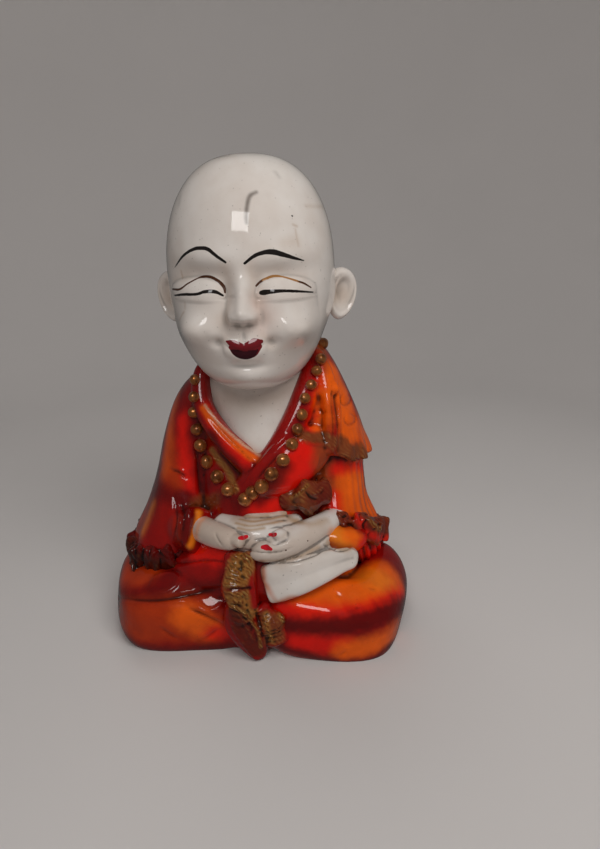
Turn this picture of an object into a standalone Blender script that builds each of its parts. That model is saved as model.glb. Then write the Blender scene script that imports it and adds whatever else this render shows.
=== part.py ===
"""Baby monk statue: a cast resin figure of a toddler monk in meditation, as one solid.

The figure faces -Y and stands on its flat underside at z = 0. Every form is worked out on
a figure 160 mm high and grows with HEIGHT, so the numbers below read as millimetres there.
Each form is a closed shell: a deformed ball, a loft through oval sections, or a bar along a
path. One Boolean union fuses them, as the mould did, and a last cut makes the underside flat.
"""
import bmesh
import bpy
import numpy as np
from mathutils.bvhtree import BVHTree

# Driving sizes, in metres
HEIGHT = 0.160
BEAD_DIAMETER = 0.0045
BEAD_STEP = 0.0048

# Share of a bead's radius that the cloth covers
SUNK = 0.40

# A bead is laid down from this many figure millimetres outside its place on the string
LAY_FROM = 12

# A millimetre on the figure at its own height
MM = HEIGHT / 160

# The forms are laid out from the middle of the neck; the middle of the figure's box lies here
# from it, across and ahead, in figure millimetres
BOX_MIDDLE = (-0.9, -2.9)

# How many faces the shells have
HEAD_AROUND = 84
HEAD_DOWN = 72
FINE = 16
PLAIN = 12
HEAD_SHARE = 0.18
FORM_SHARE = 0.465


# Curves and reliefs

def spline(keys, t):
    """Smooth curve through rows of keys: each stretch is the cubic whose slopes at its ends
    are half the difference of the neighbouring keys."""
    keys = np.asarray(keys, float)
    n = len(keys) - 1
    s = np.clip(t, 0, 1) * n
    i = np.minimum(s.astype(int), n - 1)
    f = (s - i).reshape(s.shape + (1,) * (keys.ndim - 1))
    padded = np.concatenate([[2 * keys[0] - keys[1]], keys, [2 * keys[-1] - keys[-2]]])
    a, b, c, d = padded[i], padded[i + 1], padded[i + 2], padded[i + 3]
    slope = (c - a) * f
    bend = (2 * a - 5 * b + 4 * c - d) * f**2
    twist = (3 * b - a - 3 * c + d) * f**3
    return b + (slope + bend + twist) / 2


def ease(x, low, high):
    """0 below low, 1 above high, and a smooth step between."""
    t = np.clip((x - low) / (high - low), 0, 1)
    return t * t * (3 - 2 * t)


def mound(x, z, at_x, at_z, wide, high):
    """A soft mound of height 1 at a place on the face."""
    return np.exp(-((x - at_x) / wide)**2 - ((z - at_z) / high)**2)


def dome(x, z, at_x, at_z, wide, high):
    """An oval cushion with a clear rim, of height 1 in its middle."""
    return np.clip(1 - ((x - at_x) / wide)**2 - ((z - at_z) / high)**2, 0, 1)**0.62


# Shells

def new_mesh(name, verts, faces):
    """Mesh of a closed shell given in figure millimetres, turned so that its faces point out."""
    verts = np.asarray(verts, float)
    volume = 0.0
    for face in faces:
        for i in range(1, len(face) - 1):
            a, b, c = verts[face[0]], verts[face[i]], verts[face[i + 1]]
            volume += np.dot(a, np.cross(b, c))
    if volume < 0:
        faces = [tuple(reversed(face)) for face in faces]
    mesh = bpy.data.meshes.new(name)
    mesh.from_pydata((verts * MM).tolist(), [], faces)
    mesh.shade_smooth()
    return mesh


def shell(name, rings):
    """Closed shell through rings of points, with its first and last ring drawn to a pole."""
    rows, cols, _ = rings.shape
    inner = rings[1:-1].reshape(-1, 3)
    verts = np.concatenate([rings[0].mean(0)[None], inner, rings[-1].mean(0)[None]])
    index = 1 + np.arange((rows - 2) * cols).reshape(rows - 2, cols)
    following = np.roll(index, -1, 1)
    quads = np.stack([index[:-1], index[1:], following[1:], following[:-1]], -1)
    last = len(verts) - 1
    faces = [tuple(quad) for quad in quads.reshape(-1, 4).tolist()]
    faces += [(0, a, b) for a, b in zip(index[0].tolist(), following[0].tolist())]
    faces += [(last, b, a) for a, b in zip(index[-1].tolist(), following[-1].tolist())]
    return new_mesh(name, verts, faces)


def loft(name, sections, around=FINE, along=PLAIN, ends=(0.12, 0.12), relief=None):
    """Shell through oval sections. A section is its middle, its half across and its half
    deep, each an x, y, z. The ends round over a share of the length each, and relief adds
    to the radius by the share along and the turn round the section."""
    even = np.linspace(0, 1, along + 1)
    t = (even + 0.5 - 0.5 * np.cos(np.pi * even)) / 2
    keys = spline(np.asarray(sections, float).reshape(len(sections), 9), t)
    first, last = ends
    size = np.sqrt(np.clip(1 - np.clip(1 - t / first, 0, 1)**2, 0, 1))
    size = size * np.sqrt(np.clip(1 - np.clip(1 - (1 - t) / last, 0, 1)**2, 0, 1))
    turn = np.linspace(0, 2 * np.pi, around, endpoint=False)
    middle, across, deep = (keys[:, None, i:i + 3] for i in (0, 3, 6))
    arm = across * np.cos(turn)[None, :, None] + deep * np.sin(turn)[None, :, None]
    if relief is not None:
        length = np.maximum(np.linalg.norm(arm, axis=-1), 1e-6)
        arm = arm * (1 + relief(t[:, None], turn[None, :]) / length)[..., None]
    return shell(name, middle + arm * size[:, None, None])


def bar(name, path, wide, thick, facing=(0, -1, 0), around=FINE, along=PLAIN, ends=(0.1, 0.1),
        relief=None):
    """Bar along a path of points, wide across it and thick towards facing, half sizes both."""
    path = np.asarray(path, float)
    count = len(path)
    run = np.gradient(path, axis=0)
    run /= np.linalg.norm(run, axis=1, keepdims=True)
    out = np.broadcast_to(np.asarray(facing, float), (count, 3))
    out = out - (out * run).sum(1, keepdims=True) * run
    out /= np.linalg.norm(out, axis=1, keepdims=True)
    across = np.cross(run, out)
    wide = np.broadcast_to(np.asarray(wide, float), (count,))[:, None]
    thick = np.broadcast_to(np.asarray(thick, float), (count,))[:, None]
    sections = np.stack([path, across * wide, out * thick], 1)
    return loft(name, sections, around, along, ends, relief)


def upright(name, stations, around=FINE, along=PLAIN, ends=(0.1, 0.1), relief=None, lean=0.0):
    """Shell of level ovals. A station is middle x, middle y, height z, half across, half deep;
    lean tips each oval down towards +X by that slope."""
    sections = [((x, y, z), (wide, 0, -lean * wide), (0, -deep, 0)) for x, y, z, wide, deep in stations]
    return loft(name, sections, around, along, ends, relief)


# Head

def face_relief(x, z):
    """How far the face stands out from the egg of the head, by place across and height."""
    side = np.abs(x)
    out = 0.9 * mound(side, z, 11, 130.5, 8, 3.4)
    for eye_x, eye_half in ((-14.9, 9.4), (12.8, 8.4)):
        inner = eye_x * 0.4
        out -= 2.8 * mound(x, z, eye_x * 0.8, 123.4, 9.0, 4.4) + 1.6 * mound(x, z, inner, 120.0, 2.4, 4.0)
        upper_lid = dome(x, z, eye_x, 118.6, eye_half, 5.8)
        lower_lid = dome(x, z, eye_x, 118.6, eye_half, 3.4)
        out += np.where(z > 118.6, 3.3 * upper_lid, 1.7 * lower_lid)
    out += 2.6 * mound(side, z, 14.0, 107.5, 7.5, 7.0)
    out += 1.6 * mound(x, z, 0, 104.0, 8.0, 5.5)
    bridge_z = [108.8, 110.6, 111.8, 113.6, 116.0, 119, 123, 127]
    bridge = np.interp(z, bridge_z, [0, 2.4, 4.9, 5.8, 5.1, 3.6, 1.8, 0])
    bridge_half = np.interp(z, [110, 113, 116, 120, 126], [3.0, 3.6, 3.0, 2.8, 3.6])
    out += bridge * np.exp(-(side / bridge_half)**2.4)
    out += 2.3 * mound(side, z, 4.3, 113.0, 2.0, 2.1)
    mouth_line = 103.4 + 0.065 * x**2
    reach = np.clip(1 - (side / 6.3)**2, 0, 1)**0.5
    bow = 1 - 0.25 * np.exp(-(x / 1.1)**2)
    out += 1.3 * reach * bow * np.exp(-((z - mouth_line - 1.4) / 1.3)**2)
    out += 1.5 * reach * np.exp(-((z - mouth_line + 1.9) / 1.6)**2)
    out -= 0.5 * reach * np.exp(-((z - mouth_line) / 0.6)**2)
    out -= 1.3 * mound(side, z, 8.0, 105.8, 1.7, 1.7)
    out += 1.8 * mound(x, z, 0, 94.0, 7, 4.0)
    out -= 1.0 * mound(x, z, 0, 98.2, 5, 1.4)
    return out


def head_surface(around, down):
    """Egg of the head, rings from crown to chin: a turn's half width and half depth follow
    the height, and the face relief stands out on its front."""
    s = np.linspace(-np.pi, np.pi, around, endpoint=False)[None, :]
    turn = s - 0.45 * np.sin(s)
    fall = np.linspace(0, np.pi, down + 1)[:, None]
    z = 123.0 + 37.0 * np.cos(fall) + 0 * turn
    high, ring = np.cos(fall), np.sin(fall)
    full = np.where(high > 0, 0.80, 0.70)
    half_wide = 27.6 * ring**full * (1 + 0.06 * high - 0.01 * high**2)
    half_front = 28.0 * ring**full * (1 - 0.06 * high)
    half_back = 31.0 * ring**0.9 * (1 + 0.16 * high)
    forward = 1 + 5 * ease(-high, 0.0, 1.0)
    half_deep = np.where(np.cos(turn) > 0, half_front, half_back)
    x = half_wide * np.sin(turn)
    y = -half_deep * np.cos(turn)
    front = ease(np.cos(turn), 0.05, 0.5)
    stand = face_relief(x - 0.7, z) * front
    slope = np.stack([x / np.maximum(half_wide, 1)**2, y / np.maximum(half_deep, 1)**2], -1)
    slope = slope / np.maximum(np.linalg.norm(slope, axis=-1, keepdims=True), 1e-9)
    return np.stack([x - 0.7 + stand * slope[..., 0], y - forward + stand * slope[..., 1], z], -1)


def ear_surface(side, around, rings):
    """Cupped oval plate beside the head: raised rim, hollow middle, broad above, lobe below."""
    up = np.array([0.08 * side, 0.10, 1.0])
    up /= np.linalg.norm(up)
    out = np.array([0.86 * side, 0.52, 0.0])
    out -= up * (out @ up)
    out /= np.linalg.norm(out)
    front = np.cross(out, up) * side
    front *= -np.sign(front[1])
    fall = np.linspace(0, np.pi, 2 * rings + 1)[:, None]
    turn = np.linspace(0, 2 * np.pi, around, endpoint=False)[None, :]
    spread = np.sin(fall)
    a, b = np.cos(turn) * spread, np.sin(turn) * spread
    rim = 1.3 * np.exp(-((spread - 0.84) / 0.16)**2)
    hollow = 1.8 * np.exp(-((a + 0.1) / 0.5)**2 - ((b - 0.05) / 0.55)**2)
    rise = 1.9 * np.cos(fall) + ease(np.cos(fall), 0.0, 0.35) * (rim - hollow)
    wide = (5.9 * (1 + 0.18 * b) * a)[..., None]
    middle = np.array([29.0 * side, 2.5, 115.5])
    return middle + wide * out + (8.8 * b)[..., None] * up + rise[..., None] * front


def make_head():
    """Bald head with its two ears."""
    return [shell("head", head_surface(HEAD_AROUND, HEAD_DOWN)),
            shell("ear_right", ear_surface(-1, 24, 8)),
            shell("ear_left", ear_surface(1, 24, 8))]


def make_neck():
    """Short neck that widens into the chest."""
    stations = [(0, 3, 104, 13, 12), (0, 2, 93, 17, 13.5), (0, 1.5, 84, 20, 15.5), (0, 1, 74, 18, 16),
                (1, 2, 62, 13, 16), (1, 3, 52, 8, 10)]
    return [upright("neck", stations)]


# Robe

def front_folds(t, turn):
    """Soft folds that hang on the sides and the back of the robe."""
    depth = 0.7 * ease(t, 0.25, 0.6)
    return depth * np.cos(9 * turn + 2.0) * ease(np.sin(turn) * -1, -0.2, 0.5)


def make_trunk():
    """Robe round the trunk, open in a V over the chest."""
    stations = [(0, 4, 97, 13, 11), (0, 4, 90, 19, 13), (0, 4, 80, 24, 15), (0, 3.5, 70, 27, 18),
                (0, 3.5, 60, 28, 21), (0, 3, 48, 29, 25.5), (0, 4, 34, 33, 28), (0, 7, 16, 39, 32),
                (0, 8, -6, 41, 33)]
    return upright("trunk", stations, around=28, along=16, relief=open_chest)


def make_collar():
    """The two crossed collar bands, the fold over the breast, the frill and the waist below it."""
    left_band = bar("collar_left", [(-19.5, -1, 93), (-19.5, -8, 82), (-13, -14.0, 73.5),
                                    (-3, -17.5, 65.5), (6, -18, 58)],
                    wide=[3.0, 3.6, 4.0, 4.6, 5.0], thick=3.6, along=10, around=10)
    right_band = bar("collar_right", [(21, 4, 96.5), (17.5, -6, 87), (12.5, -12.5, 77.5),
                                      (5, -17.6, 67), (-5, -20, 55.5), (-9, -19, 50)],
                     wide=[3.4, 4.4, 4.6, 4.8, 4.6, 3.0], thick=4.2, along=12, around=10)
    breast_fold = bar("breast_fold", [(-2, -19.5, 52), (8, -20.5, 58), (17, -16.0, 64.5), (25, -9.5, 69)],
                      wide=[5.5, 8.0, 8.5, 5], thick=[5, 5.2, 5.2, 4], along=10, around=10)
    frill = bar("frill", [(9, -22, 49.5), (15, -22.5, 51), (21, -20.5, 51.5), (26, -17, 52)],
                wide=[2.5, 4.5, 5.5, 4.0], thick=3.0, along=10, around=10,
                relief=lambda t, turn: 0.8 * np.sin(22 * t))
    waist = upright("waist", [(1, -4, 60, 14, 14), (1, -4, 54, 20, 19), (1, -5, 46, 23, 21),
                              (1, -6, 38, 24, 22)], around=14, along=7)
    return [left_band, right_band, breast_fold, frill, waist]


def open_chest(t, turn):
    """Draws the robe in behind the chest above its V, and lays folds on its back."""
    z_share = ease(0.46 - t, 0.0, 0.06)
    half = np.clip(0.46 - t, 0, 1) * 3.4
    inside = ease(half - np.abs(turn - np.pi / 2 - 0.03), 0.0, 0.25)
    return -5.0 * z_share * inside + front_folds(t, turn)


def sleeve_folds(amount, count, phase):
    """Pleats that deepen towards the hem of a hanging sleeve."""
    def relief(t, turn):
        depth = amount * (0.25 + 0.75 * ease(t, 0.55, 0.95)) * ease(t, 0.2, 0.5)
        return depth * np.cos(count * turn + phase)
    return relief


def make_sleeves():
    """Two bell sleeves that hang from the shoulders onto the thighs, each with its frilled hem."""
    right = upright("sleeve_right", [(-16, 4, 90, 7, 8), (-20, 4, 79, 11.5, 12), (-24, 3, 66, 12.5, 15),
                                     (-27, 1, 52, 13.0, 18), (-29.5, -3, 41, 14.0, 20.5),
                                     (-33.5, -6, 30, 15, 20.5), (-36, -7, 19, 14, 17)],
                    around=20, along=12, relief=sleeve_folds(0.5, 8, 1.0))
    left = upright("sleeve_left", [(17, 4, 92, 7, 8), (21, 4, 80, 10.5, 12), (24, 3, 66, 12.0, 14),
                                   (25.5, 1, 52, 12.0, 16), (27, -2, 41, 12.0, 19.5),
                                   (30.5, -4, 30, 13.0, 18), (33, -5, 19, 13.0, 16)],
                   around=26, along=12, relief=sleeve_folds(0.8, 12, 0.4))
    cuff = bar("cuff_right", [(-33, -10, 33), (-26, -19, 36), (-19.5, -25.5, 38.5)],
               wide=[9, 9, 8.5], thick=[8, 8, 7.5], along=6, around=12, ends=(0.2, 0.08))
    return [right, left, cuff,
            hem("hem_right", (-35.0, -7.0), 27.5, (17.0, 21.0), (4.0, 0.5)),
            hem("hem_left", (31.5, -6.0), 28.0, (15.2, 19.5), (-1.5, 8.0))]


def hem(name, middle, height, reach, tilt):
    """Crinkled roll of gold cloth round the foot of a sleeve, tipped across and forwards."""
    turn = np.linspace(0, 2 * np.pi, 37)[:-1]
    crinkle = 0.8 * np.sin(9 * turn) + 0.4 * np.sin(14 * turn + 1)
    loop = np.stack([middle[0] + (reach[0] - 2.4 + crinkle) * np.cos(turn),
                     middle[1] - (reach[1] - 2.4 + crinkle) * np.sin(turn),
                     height + tilt[0] * np.cos(turn) + tilt[1] * np.sin(turn) + 0.8 * np.sin(7 * turn)], -1)
    return ring(name, loop, 2.6, 3.8, 5)


def ring(name, loop, thick, tall, around):
    """Endless roll along a closed loop of points, thick outwards and tall upwards, half sizes."""
    along = np.roll(loop, -1, 0) - np.roll(loop, 1, 0)
    along /= np.linalg.norm(along, axis=1, keepdims=True)
    up = np.array([0, 0, 1.0]) - along[:, 2:3] * along
    up /= np.linalg.norm(up, axis=1, keepdims=True)
    out = np.cross(along, up)
    turn = np.linspace(0, 2 * np.pi, around, endpoint=False)[None, :, None]
    points = loop[:, None] + thick * out[:, None] * np.cos(turn) + tall * up[:, None] * np.sin(turn)
    count = len(loop)
    index = np.arange(count * around).reshape(count, around)
    beside, ahead = np.roll(index, -1, 1), np.roll(index, -1, 0)
    both = np.roll(ahead, -1, 1)
    quads = np.stack([index, beside, both, ahead], -1).reshape(-1, 4)
    return new_mesh(name, points.reshape(-1, 3), [tuple(quad) for quad in quads.tolist()])


def scallops(t, turn):
    """Waves along the lower edge of the shawl."""
    return ease(t, 0.72, 0.95) * (1.2 + 0.9 * np.cos(12 * turn))


def make_shawl():
    """Shawl over the left shoulder: peak beside the neck, ridge down its front, scalloped hem."""
    cape = upright("shawl", [(20.5, 4, 98.5, 2.5, 5), (21, 4, 92, 7, 9.5), (22, 3.5, 82, 11.5, 13.5),
                              (24, 3, 72, 13.5, 16.5), (25, 2.5, 62, 14.5, 18)],
                   around=30, along=12, ends=(0.08, 0.05), relief=scallops, lean=0.42)
    ridge = bar("shawl_ridge", [(22, -2, 93), (24.5, -10, 82), (25.5, -14, 72), (25, -16, 63)],
                wide=[1.4, 2.0, 2.4, 2.8], thick=2.2, along=8, around=8)
    return [cape, ridge]


# Necklace

def necklace_path():
    """Closed loop of the string: round the back of the neck, down over both shoulders and
    in a long V over the chest, a little lower on the right side of the figure."""
    right = [(0, 17.5, 95), (-13, 15, 95.5), (-21, 6, 94), (-22.5, -4, 88), (-21.5, -10.5, 80),
             (-19.5, -16.5, 70.5), (-15, -20.0, 62.5), (-9, -23.5, 55.5), (-2.5, -24.5, 50.0)]
    left = [(3.5, -25.0, 54), (7.5, -25.5, 60.0), (12.5, -23.0, 68), (15.0, -19.5, 76),
            (18, -13.0, 85), (20.5, -4, 93.5), (20.5, 6, 97), (13, 15, 97)]
    return np.array(right + left + right[:1], float)


def outwards(place):
    """Direction in which a place on the string faces: away from the back of the neck, mostly
    forwards or backwards, and a third up."""
    across, ahead = 0.3 * place[0], place[1] - 5 * MM
    out = np.array([across, ahead, 0.36 * np.hypot(across, ahead)])
    return out / np.linalg.norm(out)


def make_beads(cloth):
    """Prayer beads as short fat balls, evenly spaced along the string, each laid down on the
    cloth from outside and sunk in it by SUNK of its radius."""
    fine = spline(necklace_path(), np.linspace(0, 1, 1601)) * MM
    run = np.concatenate([[0], np.cumsum(np.linalg.norm(np.diff(fine, axis=0), axis=1))])
    count = int(round(run[-1] / BEAD_STEP))
    radius = BEAD_DIAMETER / 2
    fall = np.linspace(0, np.pi, 5)[:, None]
    turn = np.linspace(0, 2 * np.pi, 6, endpoint=False)[None, :]
    level_part = np.sin(fall)
    unit = np.stack([level_part * np.cos(turn), level_part * np.sin(turn), np.cos(fall) + 0 * turn], -1)
    beads = []
    for number, along in enumerate(np.arange(count) / count * run[-1]):
        place = np.array([np.interp(along, run, fine[:, axis]) for axis in range(3)])
        out = outwards(place)
        spot = cloth.ray_cast(place + out * LAY_FROM * MM, -out)[0]
        middle = np.array(spot) + out * radius * (1 - SUNK)
        beads.append(shell(f"bead_{number}", (middle + unit * radius) / MM))
    return beads


# Hands and foot

def make_hands():
    """Hands laid one on the other in the lap, the thumbs and fingers as small rounded bars."""
    forms = [
        bar("hand_right", [(-27, -12, 37), (-19, -25, 39.5), (-12, -31.5, 40), (-4, -35, 40.5)],
            wide=[6, 6.2, 5.4, 3.2], thick=[6, 6, 5.4, 3.2], along=9, around=12),
        bar("hand_left", [(30, -10, 43), (25, -24, 43), (17, -30.5, 40.5), (8, -34.5, 38.5), (2, -36, 38)],
            wide=[6, 5.8, 6.4, 5.6, 3.6], thick=[6, 6.0, 6.2, 5, 3.4], along=10, around=12),
        bar("palms", [(-16, -26, 36), (0, -30, 36), (16, -28, 36)], wide=6, thick=7, along=6, around=12)]
    fingers = {
        "thumb_right": [(-10, -32.5, 41), (-5, -36.0, 41.5), (-2.5, -37, 41.5)],
        "thumb_left": [(15, -30.5, 45), (9, -34, 44.5), (6.5, -35.5, 44)],
        "finger_1": [(13, -34, 40.5), (7.5, -37.5, 40), (4.5, -38.5, 40)],
        "finger_2": [(13, -34, 37), (4, -38.5, 36.8), (-3, -39.5, 36.8)],
        "finger_3": [(-9, -29, 43.5), (2, -31.5, 44.8), (10, -31, 44)],
        "finger_4": [(-8, -26, 46), (3, -28, 47.2), (13, -28, 46)],
        "finger_5": [(-4, -23, 48), (7, -24.5, 49.5), (16, -24.5, 48)]}
    for name, path in fingers.items():
        forms.append(bar(name, path, wide=2.5, thick=2.5, along=5, around=8, ends=(0.3, 0.3)))
    return forms


def make_foot():
    """Right foot laid on the left shin, its heel by the sash and its big toe out to the side."""
    sole = bar("foot", [(3.5, -39, 28), (11, -39.5, 28.5), (20, -37, 30), (28, -33, 31), (35, -29, 31)],
               wide=[7.4, 7.8, 6.6, 5.0, 4.0], thick=[5, 6, 5.5, 5, 4], along=11, around=12,
               ends=(0.18, 0.14))
    ankle = bar("ankle", [(2, -30, 25), (9, -36, 28), (17, -36, 29)], wide=6.5, thick=6, along=6, around=10)
    toes = [bar(f"toe_{i}", [(27 - 1.0 * i, -28 + 2.6 * i, 34.5), (31 - 1.2 * i, -25.5 + 2.6 * i, 35)],
                wide=1.8, thick=1.8, along=5, around=8, ends=(0.4, 0.4)) for i in range(3)]
    return [sole, ankle] + toes


# Lap and sash

def make_lap():
    """Crossed legs under the robe: thigh and shin on each side over a broad low base."""
    base = upright("base", [(0, -3, 21, 38, 30), (0, -3, 12, 46, 36), (0, -3, 2, 47, 36),
                            (0, -3, -8, 46, 35)], around=26, along=6, ends=(0.3, 0.1))
    middle = upright("lap_cloth", [(0, -20, 39, 14, 11), (0, -19, 33, 24, 16), (0, -17, 25, 34, 22),
                                   (0, -16, 16, 36, 22)], around=20, along=7, ends=(0.2, 0.1))
    forms = [base, middle]
    for side, name, front, wider in ((-1, "right", 0.0, 1.4), (1, "left", 3.5, -0.6)):
        thigh = [(side * 12, 12, 9), (side * 30, 5, 9), (side * 42, -6, 9)]
        knee = 43.5 + wider
        shin = [(side * 40, 4, 9), (side * knee, -12, 8.5), (side * (36 + wider), -28 - front, 8),
                (side * 18, -29.5 - front, 9), (side * -4, -28, 10)]
        forms.append(bar(f"thigh_{name}", thigh, wide=[17, 17, 12], thick=[17, 16.5, 15],
                         facing=(0, 0, 1), along=8, around=14, ends=(0.2, 0.3)))
        forms.append(bar(f"shin_{name}", shin, wide=[10, 11, 13.5, 12.0, 10],
                         thick=[14.5, 15.5, 15.5, 16.0, 15], facing=(0, 0, 1), along=13, around=16,
                         ends=(0.2, 0.2), relief=lap_folds))
    return forms


def lap_folds(t, turn):
    """Creases of the cloth that fan out over the shins."""
    return 0.7 * np.cos(6 * turn + 5 * t) * ease(t, 0.1, 0.5)


def make_sash():
    """End of the sash between the knees: a folded ribbon with the red cloth beside it, a
    leaf-shaped flap and a short wing."""
    ribbon = bar("sash_ribbon", [(-5.5, -34, 36), (-5.8, -39.5, 30), (-5.0, -42, 22), (-3, -42.5, 14)],
                 wide=[4.2, 4.4, 4.4, 4.0], thick=3.0, along=10, around=8,
                 relief=lambda t, turn: 0.7 * np.cos(13 * t))
    leaf = bar("sash_leaf", [(-6.5, -40, 22), (-4.0, -42, 14), (-1.0, -43, 7.5), (2.0, -43.5, 0)],
               wide=[3.5, 6.4, 5.6, 2.2], thick=[3, 3.2, 2.8, 2.0], along=8, around=8)
    wing = bar("sash_wing", [(1.5, -40.5, 20), (5, -42, 13.5), (8.5, -42, 6)],
               wide=[2.6, 5.4, 4.0], thick=3.0, along=7, around=8)
    strip = bar("sash_strip", [(-1.5, -35, 37), (-1, -38, 29), (0, -39.5, 20), (1, -40, 12)],
                wide=3.6, thick=3.2, along=7, around=8)
    return [ribbon, leaf, wing, strip]


# Casting

def glossy_resin():
    """Glossy lacquered resin, in the orange red of the robe."""
    material = bpy.data.materials.new("painted_resin")
    material.use_nodes = True
    shader = material.node_tree.nodes["Principled BSDF"]
    shader.inputs["Base Color"].default_value = (0.62, 0.07, 0.015, 1.0)
    shader.inputs["Roughness"].default_value = 0.25
    shader.inputs["Metallic"].default_value = 0.0
    return material


def guide(mesh):
    """Object for a shell that is only fused into the casting."""
    thing = bpy.data.objects.new(mesh.name, mesh)
    thing.hide_render = True
    thing.display_type = "WIRE"
    return thing


def add_union(solid, name, meshes):
    """Boolean union of a solid with overlapping shells, kept in a collection of their own."""
    forms = bpy.data.collections.new(name)
    bpy.context.scene.collection.children.link(forms)
    for mesh in meshes:
        forms.objects.link(guide(mesh))
    union = solid.modifiers.new(name, "BOOLEAN")
    union.operation = "UNION"
    union.solver = "EXACT"
    union.operand_type = "COLLECTION"
    union.collection = forms


def level(solid):
    """Cuts the solid off flat at z = 0."""
    below = level_block()
    bpy.context.scene.collection.objects.link(below)
    cut = solid.modifiers.new("level", "BOOLEAN")
    cut.operation = "DIFFERENCE"
    cut.solver = "EXACT"
    cut.object = below


def evaluated(solid):
    """The solid's mesh with all its modifiers so far."""
    graph = bpy.context.evaluated_depsgraph_get()
    return bpy.data.meshes.new_from_object(solid.evaluated_get(graph), depsgraph=graph)


def surface_of(solid):
    """Search tree of the solid's surface."""
    mesh = evaluated(solid)
    corners = [vert.co for vert in mesh.vertices]
    return BVHTree.FromPolygons(corners, [tuple(face.vertices) for face in mesh.polygons])


def thinned(mesh, share):
    """The mesh with only a share of its triangles: the flattest collapse first."""
    thing = bpy.data.objects.new("full", mesh)
    bpy.context.scene.collection.objects.link(thing)
    decimate = thing.modifiers.new("thin", "DECIMATE")
    decimate.ratio = share
    bpy.context.view_layer.update()
    thin = evaluated(thing)
    thin.name = mesh.name
    bpy.data.objects.remove(thing)
    return thin


def level_block():
    """Block whose top lies at z = 0, wider than the figure."""
    reach, depth = 80, 30
    corners = [(x * reach, y * reach, z) for z in (-depth, 0) for y in (-1, 1) for x in (-1, 1)]
    sides = [(0, 2, 3, 1), (4, 5, 7, 6), (0, 1, 5, 4), (2, 6, 7, 3), (0, 4, 6, 2), (1, 3, 7, 5)]
    return guide(new_mesh("below", corners, sides))


def fill_pockets(solid):
    """Ends the modifiers and keeps the outer skin alone: a pocket shut in between the forms is
    solid resin in the casting. The middle of its box comes to the origin."""
    skin = bmesh.new()
    skin.from_mesh(evaluated(solid))
    top = max(skin.verts, key=lambda vert: vert.co.z)
    outer, edge = {top}, [top]
    while edge:
        near = [link.other_vert(vert) for vert in edge for link in vert.link_edges]
        edge = list({vert for vert in near if vert not in outer})
        outer.update(edge)
    bmesh.ops.delete(skin, geom=[vert for vert in skin.verts if vert not in outer], context="VERTS")
    bmesh.ops.triangulate(skin, faces=skin.faces)
    solid.modifiers.clear()
    bmesh.ops.translate(skin, verts=skin.verts, vec=(-BOX_MIDDLE[0] * MM, -BOX_MIDDLE[1] * MM, 0))
    skin.to_mesh(solid.data)
    skin.free()
    solid.data.shade_smooth()


def main():
    for thing in list(bpy.data.objects):
        bpy.data.objects.remove(thing)
    trunk = thinned(make_trunk(), FORM_SHARE)
    trunk.materials.append(glossy_resin())
    solid = bpy.data.objects.new("baby_monk_statue", trunk)
    bpy.context.scene.collection.objects.link(solid)
    dress = make_collar() + make_neck() + make_sleeves() + make_shawl()
    cloth = [thinned(mesh, FORM_SHARE) for mesh in dress]
    add_union(solid, "cloth", cloth)
    beads = make_beads(surface_of(solid))
    rest = [thinned(mesh, FORM_SHARE) for mesh in make_hands() + make_foot() + make_lap() + make_sash()]
    rest += [thinned(mesh, HEAD_SHARE) for mesh in make_head()]
    add_union(solid, "rest", rest + beads)
    level(solid)
    fill_pockets(solid)


main()
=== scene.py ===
"""Baby monk statue: a toddler monk in meditation, cast in resin, painted by hand and lacquered.

Every form is worked out on a figure 160 mm high, in millimetres from the point under the middle
of its neck, and piece_from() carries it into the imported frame. Head, ears, neck and beads are
surfaces of two parameters. Robe, hems, lap, sash, hands and foot are several such surfaces run
together, as they are in the casting; folds are then pressed in and paint is laid on along
strokes. A stroke is named by pixels of the photograph, is found on the surface along the
camera's line of sight, and acts from there by its distance in space.
"""
from math import radians

import bmesh
import bpy
import numpy as np
from bpy.props import FloatProperty, FloatVectorProperty, PointerProperty
from bpy.types import Operator, Panel, PropertyGroup
from mathutils import Matrix, Vector
from mathutils.bvhtree import BVHTree


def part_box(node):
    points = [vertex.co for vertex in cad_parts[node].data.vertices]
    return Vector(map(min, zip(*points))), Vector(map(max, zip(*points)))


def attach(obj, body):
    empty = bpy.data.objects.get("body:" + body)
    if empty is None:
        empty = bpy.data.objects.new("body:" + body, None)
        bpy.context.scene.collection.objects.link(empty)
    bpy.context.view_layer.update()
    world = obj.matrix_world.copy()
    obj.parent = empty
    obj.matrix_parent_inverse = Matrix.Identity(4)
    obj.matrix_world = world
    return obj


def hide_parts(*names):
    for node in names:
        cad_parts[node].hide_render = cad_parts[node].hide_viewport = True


bl_info = {
    "name": "Baby Monk Statue",
    "version": (1, 0, 0),
    "blender": (4, 5, 0),
    "location": "3D View > Sidebar > Monk",
    "description": "Builds a lacquered resin ornament of a toddler monk, piece by piece",
    "category": "Object",
}

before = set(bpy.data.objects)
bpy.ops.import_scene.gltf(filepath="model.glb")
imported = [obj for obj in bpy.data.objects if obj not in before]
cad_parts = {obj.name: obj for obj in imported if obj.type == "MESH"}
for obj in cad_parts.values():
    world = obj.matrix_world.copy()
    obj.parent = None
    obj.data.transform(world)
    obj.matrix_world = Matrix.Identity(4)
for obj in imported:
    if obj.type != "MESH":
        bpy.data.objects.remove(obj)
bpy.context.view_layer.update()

NODE = "baby_monk_statue"
BODY = "root"
LOWEST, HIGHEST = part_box(NODE)

# The figure is this many of its own millimetres high
FIGURE_HEIGHT = 160
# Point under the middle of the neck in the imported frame, in figure millimetres
NECK = np.array([0.9, 2.9, 0.0])

# The photograph's size and the focal length, in its pixels
PICTURE = (600, 849)
FOCAL = 603.0

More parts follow.
